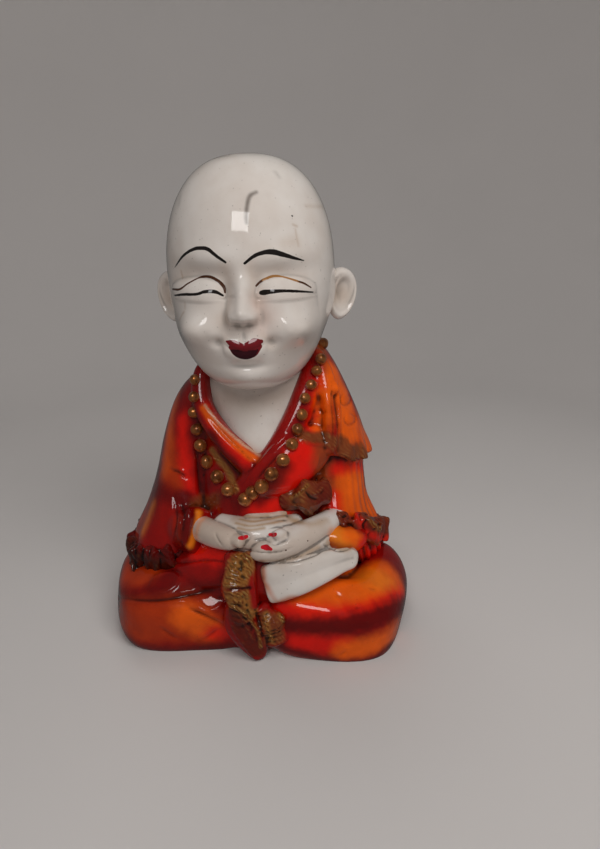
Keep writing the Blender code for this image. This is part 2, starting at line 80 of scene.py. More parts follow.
# Share of metal leaf in each paint that holds any
GILT = {"gold": 1.0, "bronze": 0.26, "hem_brown": 0.14, "umber_leaf": 0.1}


# Curves and reliefs

def spline(keys, t):
    """Smooth curve through rows of keys: each stretch is the cubic whose slopes at its ends
    are half the difference of the neighbouring keys."""
    keys = np.asarray(keys, float)
    n = len(keys) - 1
    s = np.clip(t, 0, 1) * n
    i = np.minimum(s.astype(int), n - 1)
    f = (s - i).reshape(s.shape + (1,) * (keys.ndim - 1))
    padded = np.concatenate([[2 * keys[0] - keys[1]], keys, [2 * keys[-1] - keys[-2]]])
    a, b, c, d = padded[i], padded[i + 1], padded[i + 2], padded[i + 3]
    slope = (c - a) * f
    bend = (2 * a - 5 * b + 4 * c - d) * f**2
    twist = (3 * b - a - 3 * c + d) * f**3
    return b + (slope + bend + twist) / 2


def ease(x, low, high):
    """0 below low, 1 above high, and a smooth step between."""
    t = np.clip((x - low) / (high - low), 0, 1)
    return t * t * (3 - 2 * t)


def bump(x, wide):
    """Bell curve of height 1: e to the power of minus the square of x over wide."""
    return np.exp(-(x / wide)**2)


def mound(x, z, at_x, at_z, wide, high):
    """A soft mound of height 1 at a place on the face."""
    return bump(x - at_x, wide) * bump(z - at_z, high)


def dome(x, z, at_x, at_z, wide, high, edge=0.62):
    """An oval cushion with a clear rim, of height 1 in its middle."""
    return np.clip(1 - ((x - at_x) / wide)**2 - ((z - at_z) / high)**2, 0, 1)**edge


def ripple(points, size, seed=0.0):
    """Smooth irregular field between about -1 and 1: four crossing sines of the place, with
    wave lengths near size."""
    turns = ((0.9, 0.3, 0.5), (-0.4, 0.8, 0.6), (0.5, -0.6, 0.9), (0.7, 0.7, -0.4))
    total = 0
    for number, way in enumerate(turns):
        phase = seed * (1.7 + number) + number * 2.1
        total = total + np.sin(points @ np.array(way) * (2 * np.pi / size) * (1 + 0.23 * number) + phase)
    return total / 2.2


# Shells: each is its points, its four-sided faces and its three-sided faces

def signed_volume(points, quads, tris):
    """Six times the volume inside the faces: the sum of their corner points' triple products."""
    thirds = np.concatenate([quads[:, [0, 1, 2]], quads[:, [0, 2, 3]], tris])
    a, b, c = (points[thirds[:, i]] for i in range(3))
    return (a * np.cross(b, c)).sum()


def faces_out(points, quads, tris):
    """The shell with its faces turned outwards."""
    if signed_volume(points, quads, tris) < 0:
        return points, quads[:, ::-1], tris[:, ::-1]
    return points, quads, tris


def shell(rings):
    """Closed shell through rings of points, its first and last ring drawn to a pole."""
    rows, cols, _ = rings.shape
    points = np.concatenate([rings[0].mean(0)[None], rings[1:-1].reshape(-1, 3), rings[-1].mean(0)[None]])
    index = 1 + np.arange((rows - 2) * cols).reshape(rows - 2, cols)
    following = np.roll(index, -1, 1)
    quads = np.stack([index[:-1], index[1:], following[1:], following[:-1]], -1).reshape(-1, 4)
    first = np.stack([np.zeros_like(index[0]), index[0], following[0]], -1)
    last = np.stack([np.full_like(index[0], len(points) - 1), following[-1], index[-1]], -1)
    return faces_out(points, quads, np.concatenate([first, last]))


def joined(shells):
    """Several shells as one list of points and faces."""
    starts = np.cumsum([0] + [len(points) for points, _, _ in shells[:-1]])
    points = np.concatenate([part[0] for part in shells])
    quads = np.concatenate([part[1] + start for part, start in zip(shells, starts)])
    tris = np.concatenate([part[2] + start for part, start in zip(shells, starts)])
    return points, quads, tris


def loft(sections, around=96, along=80, ends=(0.12, 0.12), relief=None):
    """Shell through oval sections. A section is its middle, its half across and its half
    deep, each an x, y, z. The ends round over a share of the length each, and relief adds
    to the radius by the share along and the turn round the section."""
    even = np.linspace(0, 1, along + 1)
    t = (even + 0.5 - 0.5 * np.cos(np.pi * even)) / 2
    keys = spline(np.asarray(sections, float).reshape(len(sections), 9), t)
    first, last = ends
    size = np.sqrt(np.clip(1 - np.clip(1 - t / first, 0, 1)**2, 0, 1))
    size = size * np.sqrt(np.clip(1 - np.clip(1 - (1 - t) / last, 0, 1)**2, 0, 1))
    turn = np.linspace(0, 2 * np.pi, around, endpoint=False)
    middle, across, deep = (keys[:, None, i:i + 3] for i in (0, 3, 6))
    arm = across * np.cos(turn)[None, :, None] + deep * np.sin(turn)[None, :, None]
    if relief is not None:
        length = np.maximum(np.linalg.norm(arm, axis=-1), 1e-6)
        arm = arm * (1 + relief(t[:, None], turn[None, :]) / length)[..., None]
    return shell(middle + arm * size[:, None, None])


def bar(path, wide, thick, facing=(0, -1, 0), around=48, along=60, ends=(0.1, 0.1), relief=None):
    """Bar along a path of points, wide across it and thick towards facing, half sizes both."""
    path = np.asarray(path, float)
    count = len(path)
    run = np.gradient(path, axis=0)
    run /= np.linalg.norm(run, axis=1, keepdims=True)
    out = np.broadcast_to(np.asarray(facing, float), (count, 3))
    out = out - (out * run).sum(1, keepdims=True) * run
    out /= np.linalg.norm(out, axis=1, keepdims=True)
    across = np.cross(run, out)
    wide = np.broadcast_to(np.asarray(wide, float), (count,))[:, None]
    thick = np.broadcast_to(np.asarray(thick, float), (count,))[:, None]
    return loft(np.stack([path, across * wide, out * thick], 1), around, along, ends, relief)


def upright(stations, around=128, along=100, ends=(0.1, 0.1), relief=None, lean=0.0):
    """Shell of level ovals. A station is middle x, middle y, height z, half across, half deep;
    lean tips each oval down towards +X by that slope."""
    sections = [((x, y, z), (wide, 0, -lean * wide), (0, -deep, 0)) for x, y, z, wide, deep in stations]
    return loft(sections, around, along, ends, relief)


def roll(loop, thick, tall, around=20):
    """Endless roll along a closed loop of points, thick outwards and tall upwards, half sizes."""
    along = np.roll(loop, -1, 0) - np.roll(loop, 1, 0)
    along /= np.linalg.norm(along, axis=1, keepdims=True)
    up = np.array([0, 0, 1.0]) - along[:, 2:3] * along
    up /= np.linalg.norm(up, axis=1, keepdims=True)
    out = np.cross(along, up)
    turn = np.linspace(0, 2 * np.pi, around, endpoint=False)[None, :, None]
    points = loop[:, None] + thick * out[:, None] * np.cos(turn) + tall * up[:, None] * np.sin(turn)
    index = np.arange(len(loop) * around).reshape(len(loop), around)
    beside, ahead = np.roll(index, -1, 1), np.roll(index, -1, 0)
    quads = np.stack([index, beside, np.roll(ahead, -1, 1), ahead], -1).reshape(-1, 4)
    return faces_out(points.reshape(-1, 3), quads, np.zeros((0, 3), int))


# Meshes

def millimetre():
    """A figure millimetre in metres."""
    return bpy.context.scene.monk_sizes.height / FIGURE_HEIGHT


def piece_from(name, points, quads, tris):
    """Mesh object of a shell given in figure millimetres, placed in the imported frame."""
    mesh = bpy.data.meshes.new(name)
    corners = np.concatenate([quads.ravel(), tris.ravel()])
    starts = np.concatenate([np.arange(len(quads)) * 4, len(quads) * 4 + np.arange(len(tris)) * 3])
    mesh.vertices.add(len(points))
    mesh.vertices.foreach_set("co", ((points + NECK) * millimetre()).ravel())
    mesh.loops.add(len(corners))
    mesh.loops.foreach_set("vertex_index", corners)
    mesh.polygons.add(len(starts))
    mesh.polygons.foreach_set("loop_start", starts)
    mesh.update(calc_edges=True)
    mesh.shade_smooth()
    piece = bpy.data.objects.new(name, mesh)
    bpy.context.scene.collection.objects.link(piece)
    return piece


def points_of(piece):
    """The piece's points in figure millimetres."""
    points = np.empty(len(piece.data.vertices) * 3)
    piece.data.vertices.foreach_get("co", points)
    return points.reshape(-1, 3) / millimetre() - NECK


def move_points(piece, points):
    """Puts the piece's points, in figure millimetres, back into its mesh."""
    piece.data.vertices.foreach_set("co", ((points + NECK) * millimetre()).ravel())
    piece.data.update()


def normals_of(piece):
    """Outward direction at each point of the piece."""
    normals = np.empty(len(piece.data.vertices) * 3)
    piece.data.vertex_normals.foreach_get("vector", normals)
    return normals.reshape(-1, 3)


def outer_skin(piece):
    """Deletes what the fusing shut in. Points that edges join get one label, which runs along
    the edges, the lowest winning, until none changes; a label whose faces hold no volume, or
    less than none, is the wall of a void."""
    mesh = piece.data
    ends = np.empty(len(mesh.edges) * 2, int)
    mesh.edges.foreach_get("vertices", ends)
    a, b = ends.reshape(-1, 2).T
    label = np.arange(len(mesh.vertices))
    while True:
        low = np.minimum(label[a], label[b])
        lower = label.copy()
        np.minimum.at(lower, a, low)
        np.minimum.at(lower, b, low)
        lower = lower[lower]
        if (lower == label).all():
            break
        label = lower
    mesh.calc_loop_triangles()
    corners = np.empty(len(mesh.loop_triangles) * 3, int)
    mesh.loop_triangles.foreach_get("vertices", corners)
    thirds, points = corners.reshape(-1, 3), points_of(piece)
    first, second, third = (points[thirds[:, i]] for i in range(3))
    volumes = (first * np.cross(second, third)).sum(1)
    inner = np.flatnonzero(np.bincount(label[thirds[:, 0]], volumes, len(label))[label] <= 0)
    if len(inner):
        skin = bmesh.new()
        skin.from_mesh(mesh)
        skin.verts.ensure_lookup_table()
        bmesh.ops.delete(skin, geom=[skin.verts[i] for i in inner], context="VERTS")
        skin.to_mesh(mesh)
        skin.free()


def fused(name, shells, grain, soften):
    """One closed skin round overlapping shells: a grid of cells of the grain's size is laid
    through them, and the skin is then relaxed a few times so that seams fill like resin."""
    rough = piece_from(name + "_forms", *joined(shells))
    fuse = rough.modifiers.new("fuse", "REMESH")
    fuse.mode = "VOXEL"
    fuse.voxel_size = grain * millimetre()
    relax = rough.modifiers.new("relax", "SMOOTH")
    relax.factor = 0.5
    relax.iterations = soften
    graph = bpy.context.evaluated_depsgraph_get()
    mesh = bpy.data.meshes.new_from_object(rough.evaluated_get(graph), depsgraph=graph)
    mesh.name = name
    bpy.data.objects.remove(rough)
    piece = bpy.data.objects.new(name, mesh)
    bpy.context.scene.collection.objects.link(piece)
    outer_skin(piece)
    mesh.shade_smooth()
    return piece


def cut_level(piece):
    """Cuts the piece off flat where it stands, and closes the cut."""
    body = bmesh.new()
    body.from_mesh(piece.data)
    everything = list(body.verts) + list(body.edges) + list(body.faces)
    cut = bmesh.ops.bisect_plane(body, geom=everything, dist=1e-7, plane_co=(0, 0, LOWEST.z),
                                 plane_no=(0, 0, 1), clear_inner=True)
    rim = [edge for edge in cut["geom_cut"] if isinstance(edge, bmesh.types.BMEdge)]
    under = bmesh.ops.contextual_create(body, geom=rim)["faces"]
    for face in under:
        face.smooth = False
    bmesh.ops.triangulate(body, faces=under)
    body.to_mesh(piece.data)
    body.free()


def surface_of(piece):
    """Search tree of the piece's surface, in figure millimetres."""
    mesh = piece.data
    mesh.calc_loop_triangles()
    corners = np.empty(len(mesh.loop_triangles) * 3, int)
    mesh.loop_triangles.foreach_get("vertices", corners)
    return BVHTree.FromPolygons(points_of(piece).tolist(), corners.reshape(-1, 3).tolist())


# Line of sight of the photograph

def camera_axes():
    """Camera's place in figure millimetres, and its right, up and ahead directions: it stands
    off by a turn round the neck, looks a little to the right of it and down by the dip, and is
    tipped by the roll."""
    stage = bpy.context.scene.monk_stage
    turn, aim = stage.turn, stage.turn - stage.aim
    place = np.array([stage.distance * np.sin(turn), -stage.distance * np.cos(turn), stage.eye_height])
    place /= millimetre()
    ahead = np.array([-np.sin(aim) * np.cos(stage.dip), np.cos(aim) * np.cos(stage.dip), -np.sin(stage.dip)])
    level = np.array([np.cos(aim), np.sin(aim), 0])
    top = np.cross(level, ahead)
    right = level * np.cos(stage.roll) + top * np.sin(stage.roll)
    return place, right, top * np.cos(stage.roll) - level * np.sin(stage.roll), ahead


def on_surface(tree, pixels, step=1.5):
    """Places on a surface under a smooth line of pixels, one every step pixels. Where the line
    of sight passes the surface by, there is no place."""
    pixels = np.asarray(pixels, float)
    if len(pixels) > 1:
        length = np.linalg.norm(np.diff(pixels, axis=0), axis=1).sum()
        pixels = spline(pixels, np.linspace(0, 1, max(2, int(length / step) + 1)))
    place, right, up, ahead = camera_axes()
    across = (pixels[:, :1] - PICTURE[0] / 2) / FOCAL
    down = (pixels[:, 1:2] - PICTURE[1] / 2) / FOCAL
    found = [tree.ray_cast(place, way)[0] for way in ahead + across * right - down * up]
    return np.array([spot for spot in found if spot is not None]).reshape(-1, 3)


def distance(points, path, reach):
    """Distance of each point from a path and the share along it of the nearest place; both
    are left at reach and 0 outside the path's box widened by reach."""
    far = np.full(len(points), float(reach))
    share = np.zeros(len(points))
    if not len(path):
        return far, share
    inside = ((points > path.min(0) - reach) & (points < path.max(0) + reach)).all(1)
    near = points[inside]
    if len(path) == 1:
        far[inside] = np.linalg.norm(near - path[0], axis=1)
        return far, share
    best, where = np.full(len(near), np.inf), np.zeros(len(near))
    for i, (a, b) in enumerate(zip(path[:-1], path[1:])):
        run = b - a
        t = np.clip(((near - a) @ run) / max(run @ run, 1e-9), 0, 1)
        gap = np.linalg.norm(near - a - t[:, None] * run, axis=1)
        closer = gap < best
        best[closer] = gap[closer]
        where[closer] = (i + t[closer]) / (len(path) - 1)
    far[inside], share[inside] = best, where
    return far, share


def press(piece, strokes):
    """Raises or sinks the surface along strokes. A stroke is its height, its half width and
    its pixels; its cross-section is a bell curve, and it runs out at both ends."""
    tree = surface_of(piece)
    points = points_of(piece)
    normals = normals_of(piece)
    shift = np.zeros(len(points))
    for height, wide, pixels in strokes:
        path = on_surface(tree, pixels)
        far, share = distance(points, path, 3 * wide)
        fade = np.sqrt(np.clip(4 * share * (1 - share) + 0.15, 0, 1)) if len(path) > 1 else 1
        shift += height * bump(far, wide) * fade * (far < 3 * wide)
    move_points(piece, points + shift[:, None] * normals)


def ring(x, y, wide, tall, tilt=0.0, start=0.0, end=360.0):
    """Pixels round an oval, or along a part of it from start to end degrees."""
    turn = np.radians(np.linspace(start, end, 13))
    across, down = wide * np.cos(turn), tall * np.sin(turn)
    tilt = np.radians(tilt)
    return np.stack([x + across * np.cos(tilt) - down * np.sin(tilt),
                     y + across * np.sin(tilt) + down * np.cos(tilt)], 1)


# Paint

def colour_of(name):
    """The paint's colour and how much of it is metal leaf."""
    return np.array(getattr(bpy.context.scene.monk_paint, name)), GILT.get(name, 0.0)


def brush(points, path, radius, soft, ragged):
    """How strongly a stroke covers each point: fully up to its radius, then fading over soft,
    with a border that wanders by ragged."""
    far, _ = distance(points, path, radius + soft + 2 * ragged)
    border = far + ragged * ripple(points, 7.0, radius) + 0.5 * ragged * ripple(points, 2.3, soft)
    return 1 - ease(border, radius - soft / 2, radius + soft)


def lay_paint(piece, ground, strokes, gilt=None):
    """Lays strokes over the ground colours one after the other and stores the colour and the
    share of metal leaf at each point. A stroke is its paint, its radius, its softness, its
    strength and its pixels."""
    tree = surface_of(piece)
    points = points_of(piece)
    colours = np.array(ground, float)
    leaf = np.zeros(len(points)) if gilt is None else np.array(gilt, float)
    for paint, radius, soft, strength, pixels in strokes:
        colour, metal = colour_of(paint)
        path = on_surface(tree, pixels)
        cover = strength * brush(points, path, radius, 1.4 * soft, min(0.18 * radius, 0.45))
        colours += cover[:, None] * (colour - colours)
        leaf += cover * (metal - leaf)
    return colours, leaf


def ridges(piece, rounds=3):
    """How sharply the surface bulges at each point, as one over the radius in figure
    millimetres, hollows negative: along each edge the change of the normal over the change of
    place, averaged at its ends and then evened out among neighbours a few times."""
    mesh = piece.data
    ends = np.empty(len(mesh.edges) * 2, int)
    mesh.edges.foreach_get("vertices", ends)
    a, b = ends.reshape(-1, 2).T
    points, normals = points_of(piece), normals_of(piece)
    gap = points[b] - points[a]
    bend = ((normals[b] - normals[a]) * gap).sum(1) / np.maximum((gap**2).sum(1), 1e-9)
    count = len(points)
    edges = np.maximum(np.bincount(a, minlength=count) + np.bincount(b, minlength=count), 1)
    mean = (np.bincount(a, bend, count) + np.bincount(b, bend, count)) / edges
    for _ in range(rounds):
        mean = (mean + (np.bincount(a, mean[b], count) + np.bincount(b, mean[a], count)) / edges) / 2
    return mean


def carve(piece, share, deep, size):
    """Raises steep narrow folds where share is more than nothing: they run along the zero
    lines of an irregular field that is drawn out upwards."""
    points = points_of(piece)
    cords = np.clip(1 - 2.2 * np.abs(ripple(points * (1, 1, 0.35), size, 5.0)), -0.6, 1)
    move_points(piece, points + (deep * share * cords)[:, None] * normals_of(piece))


def finish_paint(piece, colours, leaf, hollow_shade):
    """Stores the paint, darkened in the hollows as painted shade, and the leaf that rubbing has left on
    the ridges."""
    bend = ridges(piece)
    # Painted shade: the paint darkens where the surface bends in.
    hollow = hollow_shade * ease(-bend, 0.03, 0.45)
    store_colour(piece, "paint", colours * (1 - hollow[:, None]))
    store_value(piece, "leaf", leaf * (0.15 + 0.85 * ease(bend, 0.02, 0.4)))


def draw_lines(piece, lines):
    """Stores brush lines as the distance from the nearest line's edge, in figure millimetres
    and negative inside it, and that line's colour. A line is its paint, its half widths from
    start to end and its pixels. A later line lies over an earlier one."""
    tree = surface_of(piece)
    points = points_of(piece)
    edge = np.full(len(points), 2.0)
    colours = np.zeros((len(points), 3))
    for paint, halves, pixels in lines:
        far, share = distance(points, on_surface(tree, pixels, 0.7), 3.0)
        border = far - spline(np.array(halves, float), share)
        over = (border < edge) | (border < 0)
        colours[over] = colour_of(paint)[0]
        edge = np.minimum(edge, border)
    store_colour(piece, "line", colours)
    store_value(piece, "edge", edge)


def store_value(piece, name, values):
    """Puts one number a point on the piece as an attribute."""
    piece.data.attributes.new(name, "FLOAT", "POINT").data.foreach_set("value", values)


def store_colour(piece, name, colours):
    """Puts one colour a point on the piece as an attribute."""
    full = np.concatenate([colours, np.ones((len(colours), 1))], 1)
    piece.data.attributes.new(name, "FLOAT_COLOR", "POINT").data.foreach_set("color", full.ravel())


# Head

# Brush lines: paint, half widths from start to end in millimetres, and pixels
BROWS_AND_LASHES = (
    ("ink", (0.16, 0.40, 0.52, 0.56, 0.54, 0.46, 0.36),
     ((174.5, 267.7), (183, 256), (193, 249.4), (201.4, 248.1), (208, 249.4), (216.3, 256), (225.4, 262.3))),
    ("ink", (0.36, 0.48, 0.60, 0.80, 0.68, 0.44, 0.16),
     ((244.5, 263.5), (252.8, 256.9), (262.7, 252.7), (272.7, 251.9), (282.6, 254.4), (294.2, 258),
      (304.2, 260.7))),
    ("umber", (0.30, 0.36, 0.36, 0.36, 0.40, 0.46, 0.50, 0.30),
     ((172.4, 289.2), (179.8, 289.2), (188.1, 283.4), (199.7, 277.6), (209.7, 276.8), (218, 280.9),
      (223.8, 286.7), (225.1, 292.5))),
    ("umber", (0.30, 0.36, 0.36), ((256.1, 285.9), (259, 283), (263.5, 279.6))),
    ("ochre", (0.36, 0.38, 0.40, 0.40, 0.38), ((263, 279.9), (272.7, 276.3), (282.6, 276.8), (294.2, 280),
                                               (300, 282))),
    ("umber", (0.38, 0.38, 0.24), ((299, 281.6), (304.2, 283.4), (311.1, 287.5))),
    ("ink", (0.24, 0.40, 0.42, 0.50, 0.54, 0.30),
     ((174.5, 295.5), (183.2, 294.5), (196.4, 294.2), (204.7, 291.7), (214.7, 291.7), (223, 295.5))),
    ("ink", (0.60, 0.80, 0.66, 0.48, 0.40, 0.20),
     ((260.8, 292.8), (264, 292.4), (270, 291.7), (282.6, 290.9), (295.9, 291.2), (313.3, 292.2))),
    ("ink", (0.34, 0.34), ((292.2, 215.9),)),
)
LIPS = (
    ("crimson_lip", (0.3, 1.15, 1.2, 1.1, 1.3, 1.55, 0.6),
     ((226.5, 341.5), (231.5, 343.4), (237.5, 345.6), (243.5, 347.6), (249, 345.4), (255.5, 343.2),
      (261.5, 341.5))),
    ("crimson_lip", (0.5, 1.45, 1.6, 1.6, 0.8),
     ((230, 347.5), (236.5, 351.6), (244.5, 353.6), (252.5, 352.2), (259.5, 346.5))),
    ("maroon_lip", (0.3, 1.15, 1.3, 1.2, 0.3),
     ((231, 350.2), (237, 353.4), (244.5, 355.6), (252, 354.0), (257.5, 350.2))),
)
# Strokes: paint, radius, softness, strength, and pixels
HEAD_MARKS = (
    ("grime", 0.26, 0.55, 0.92, ((256.1, 192.2), (250.3, 195.5), (247.5, 203), (246.2, 214.6), (246.5, 223))),
    ("grime", 0.30, 0.60, 0.45, ((250.3, 195.5), (248, 201), (246.8, 208))),
    ("grime", 0.15, 0.50, 0.70, ((215, 158.2), (222, 156.8), (229, 155.8))),
    ("grime", 0.20, 0.9, 0.25, ((275.5, 172), (279, 177))),
    ("grime", 0.30, 1.2, 0.30, ((180, 197), (179, 204))),
    ("stain", 0.12, 0.40, 0.45, ((293, 224.6), (297, 226.2))),
    ("stain", 0.10, 0.35, 0.35, ((295.5, 229), (296.5, 236), (298.5, 246))),
    ("stain", 0.14, 0.40, 0.55, ((181.2, 271), (182.8, 278))),
    ("stain", 0.12, 0.45, 0.55, ((184, 312), (182, 315), (179.5, 320.5))),
    ("stain", 0.12, 0.60, 0.30, ((185, 303), (185, 308))),
    ("stain", 0.15, 0.80, 0.25, ((306, 206), (326, 207))),
    ("stain", 0.4, 2.2, 0.22, ((283, 243), (297, 241))),
    ("grime", 0.3, 1.6, 0.20, ((206, 333), (210, 341))),
    ("grime", 0.3, 1.6, 0.20, ((304, 333), (306, 341))),
    # Painted shade: the shade strokes darken the sockets, both sides of the nose, the skin under the nose and
    # the mouth corners.
    ("shade", 0.6, 3.0, 0.32, ((226, 322), (231, 326), (240, 327), (252, 325), (258, 320))),
    ("shade", 0.3, 1.8, 0.40, ((263, 336), (269, 340), (271, 346))),
    ("shade", 0.3, 1.6, 0.30, ((225, 338), (221, 341))),
    ("shade", 0.6, 3.0, 0.50, ((224, 268), (229, 280), (229, 300), (226, 318))),
    ("shade", 0.6, 2.8, 0.50, ((250, 268), (253, 280), (255, 293), (258, 302))),
    ("shade", 0.4, 2.4, 0.35, ((176, 280), (190, 272), (208, 270), (221, 275))),
    ("shade", 0.4, 2.4, 0.35, ((258, 277), (270, 270), (286, 271), (304, 278))),
    ("blush", 1.0, 4.5, 0.22, ((258, 305), (266, 314), (262, 326))),
)


# Each eye's middle across and its half width
EYES = ((-14.9, 9.6), (12.8, 8.8))


def face_relief(x, z):
    """How far the face stands out from the egg of the head, by place across and height: brow,
    sockets, closed lids, cheeks, nose, lips and chin as mounds, domes and furrows."""
    side = np.abs(x)
    out = 0.9 * mound(side, z, 11, 130.5, 8, 3.4)
    for eye_x, eye_half in EYES:
        out = out - 1.9 * mound(x, z, eye_x * 0.8, 125.4, 9.0, 3.4)
        out = out - 1.5 * mound(x, z, eye_x * 0.38, 120.5, 2.6, 4.4)
        upper_lid = dome(x, z, eye_x, 119.9, eye_half, 4.6, 0.66)
        across_lid = np.clip(1 - ((x - eye_x) / eye_half)**2, 0, 1)**0.66
        lower_lid = across_lid * (1.5 * bump(z - 118.4, 5.2) + 0.5 * bump(z - 118.4, 0.7))
        out += np.where(z > 118.4, 2.2 * upper_lid, lower_lid)
    out += 3.0 * mound(side, z, 14.8, 108.4, 7.0, 6.0)
    out += 2.6 * mound(side, z, 13.4, 109.9, 5.0, 4.5)
    out += 1.6 * mound(x, z, 0, 104.0, 8.0, 5.5)
    out += 2.6 * mound(x, z, 0, 119.5, 2.7, 6.0)
    nose_tip = np.where(z > 114.6, bump(z - 114.6, 3.4), np.exp(-((114.6 - z) / 2.9)**4))
    out += 4.7 * nose_tip * bump(x, 3.0)
    out += 2.1 * mound(side, z, 3.0, 113.9, 1.5, 2.0)
    out -= 0.9 * mound(side, z, 1.8, 111.3, 1.0, 0.8)
    out -= 0.7 * mound(side, z, 5.8, 112.6, 1.4, 3.0)
    out -= 0.5 * mound(x, z, 0, 107.6, 0.9, 1.8)
    mouth_line = 103.4 + 0.065 * x**2
    reach = np.clip(1 - (side / 6.3)**2, 0, 1)**0.5
    bow = 1 - 0.28 * bump(x, 1.1)
    out += 0.7 * reach * bow * bump(z - mouth_line - 1.5, 1.6)
    out += 1.0 * reach * bump(z - mouth_line + 2.0, 2.2)
    out -= 0.3 * reach * bump(z - mouth_line, 0.7)
    out -= 1.4 * mound(side, z, 7.9, 105.8, 1.6, 1.7)
    out += 2.4 * mound(x, z, 0, 93.8, 7, 3.8)
    out -= 1.0 * mound(x, z, 0, 98.2, 5, 1.4)
    return out


def head_surface(around, down):
    """Egg of the head, rings from crown to chin: a turn's half width and half depth follow
    the height, the face relief stands out on its front and a soft root swells under each ear."""
    middle_height, half_height, aside = 123.0, 37.0, 0.7
    s = np.linspace(-np.pi, np.pi, around, endpoint=False)[None, :]
    turn = s - 0.45 * np.sin(s)
    u = np.linspace(0, 1, down + 1)[:, None]
    crowded = u - 0.06 * np.sin(2 * np.pi * (u - 0.55))
    fall = np.pi * (crowded - crowded[0]) / (crowded[-1] - crowded[0])
    z = middle_height + half_height * np.cos(fall) + 0 * turn
    high, level = np.cos(fall), np.sin(fall)
    full = np.where(high > 0, 0.80, 0.70)
    half_wide = 27.6 * level**full * (1 + 0.06 * high - 0.01 * high**2)
    half_front = 28.0 * level**full * (1 - 0.06 * high)
    half_back = 31.0 * level**0.9 * (1 + 0.16 * high)
    forward = 1 + 5 * ease(-high, 0.0, 1.0)
    half_deep = np.where(np.cos(turn) > 0, half_front, half_back)
    x = half_wide * np.sin(turn)
    y = -half_deep * np.cos(turn)
    stand = face_relief(x - aside, z) * ease(np.cos(turn), 0.05, 0.5)
    stand = stand + 1.1 * bump(y + 1.0, 4.2) * bump(z - 115.5, 7.0) * (np.abs(np.sin(turn)) > 0.5)
    slope = np.stack([x / np.maximum(half_wide, 1)**2, y / np.maximum(half_deep, 1)**2], -1)
    slope = slope / np.maximum(np.linalg.norm(slope, axis=-1, keepdims=True), 1e-9)
    return np.stack([x - aside + stand * slope[..., 0], y - forward + stand * slope[..., 1], z], -1)


# Middle of the left ear; the right one mirrors it
EAR_MIDDLE = (29.0, 2.5, 115.5)


def ear_surface(side, around, rings):
    """Cupped oval plate beside the head: raised rim with an inner fold, hollow middle, lobe."""
    up = np.array([0.08 * side, 0.10, 1.0])
    up /= np.linalg.norm(up)
    out = np.array([0.86 * side, 0.52, 0.0])
    out -= up * (out @ up)
    out /= np.linalg.norm(out)
    front = np.cross(out, up) * side
    front *= -np.sign(front[1])
    fall = np.linspace(0, np.pi, 2 * rings + 1)[:, None]
    turn = np.linspace(0, 2 * np.pi, around, endpoint=False)[None, :]
    spread = np.sin(fall)
    a, b = np.cos(turn) * spread, np.sin(turn) * spread
    rim = 1.3 * bump(spread - 0.84, 0.16) * (0.6 + 0.4 * ease(a + b, -0.9, 0.3))
    fold = 0.7 * bump(np.hypot(a - 0.05, (b - 0.1) * 0.9) - 0.5, 0.12) * ease(b, -0.4, 0.3)
    hollow = 2.0 * np.exp(-((a + 0.1) / 0.42)**2 - (b / 0.5)**2)
    rise = 1.9 * np.cos(fall) + ease(np.cos(fall), 0.0, 0.35) * (rim + fold - hollow)
    wide = (5.9 * (1 + 0.18 * b) * a)[..., None]
    middle = np.array(EAR_MIDDLE) * (side, 1, 1)
    return middle + wide * out + (8.8 * b)[..., None] * up + rise[..., None] * front


def build_head():
    """Bald head with its painted brows, lashes and lips."""
    head = piece_from("head", *shell(head_surface(320, 290)))
    return paint_skin(head, skin_ground(head), HEAD_MARKS, 0.25, BROWS_AND_LASHES + LIPS)


def build_ear(name, side):
    """One ear, browner in its hollow."""
    ear = piece_from(name, *shell(ear_surface(side, 96, 40)))
    points = points_of(ear)
    ground = skin_ground(ear)
    centre = np.array(EAR_MIDDLE) * (side, 1, 1) - (0, 2, 0)
    inner = 0.45 * bump(np.linalg.norm(points - centre, axis=1), 4.5)
    ground += inner[:, None] * (colour_of("stain")[0] - ground)
    return paint_skin(ear, ground, (), 0.3)


def skin_ground(piece):
    """Skin paint, a little warmer and darker in broad patches."""
    points = points_of(piece)
    warm = 0.10 + 0.08 * ripple(points, 34, 1.0) + 0.05 * ripple(points, 11, 2.0)
    warm = np.clip(warm, 0, 1)[:, None]
    return colour_of("skin")[0] + warm * (colour_of("shade")[0] - colour_of("skin")[0])


def paint_skin(piece, ground, marks, hollow_shade, lines=()):
    """Finishes a piece of skin: marks over its ground, painted shade in its hollows, and lines."""
    finish_paint(piece, *lay_paint(piece, ground, marks), hollow_shade)
    draw_lines(piece, lines)
    piece.data.materials.append(skin_material())
    return piece


# Neck

# Strokes: paint, radius, softness, strength, and pixels
NECK_MARKS = (
    ("cream", 0.5, 1.2, 0.75, ((203, 404), (213, 418), (222, 428), (243, 446), (260, 458))),
    ("blush", 0.4, 2.6, 0.55, ((205, 402), (214, 417), (229, 434), (246, 448), (261, 459))),
    ("blush", 0.4, 2.2, 0.60, ((262, 458), (276, 446), (290, 428), (299, 405), (305, 380))),
    ("stain", 0.6, 3.4, 0.35, ((200, 385), (206, 398), (216, 412))),
    # Painted shade under the chin.
    ("shade", 1.5, 5.0, 0.55, ((205, 392), (225, 399), (245, 401), (270, 398), (296, 384))),
)


def build_neck():
    """Neck that widens into the bare chest in the robe's V."""
    stations = [(0, 3, 104, 13, 12), (0, 2, 93, 17, 13), (0, 1.5, 84, 20, 13.8), (0, 1, 74, 18, 16),
                (1, 2, 64, 14, 20.3), (1, 3, 53, 8, 15)]
    neck = piece_from("neck", *upright(stations, 200, 140))
    return paint_skin(neck, skin_ground(neck), NECK_MARKS, 0.2)


# Robe

def robe_folds(t, turn):
    """Soft folds that hang on the sides and the back of the robe."""
    depth = 0.7 * ease(t, 0.25, 0.6)
    return depth * np.cos(9 * turn + 2.0) * ease(-np.sin(turn), -0.2, 0.5)


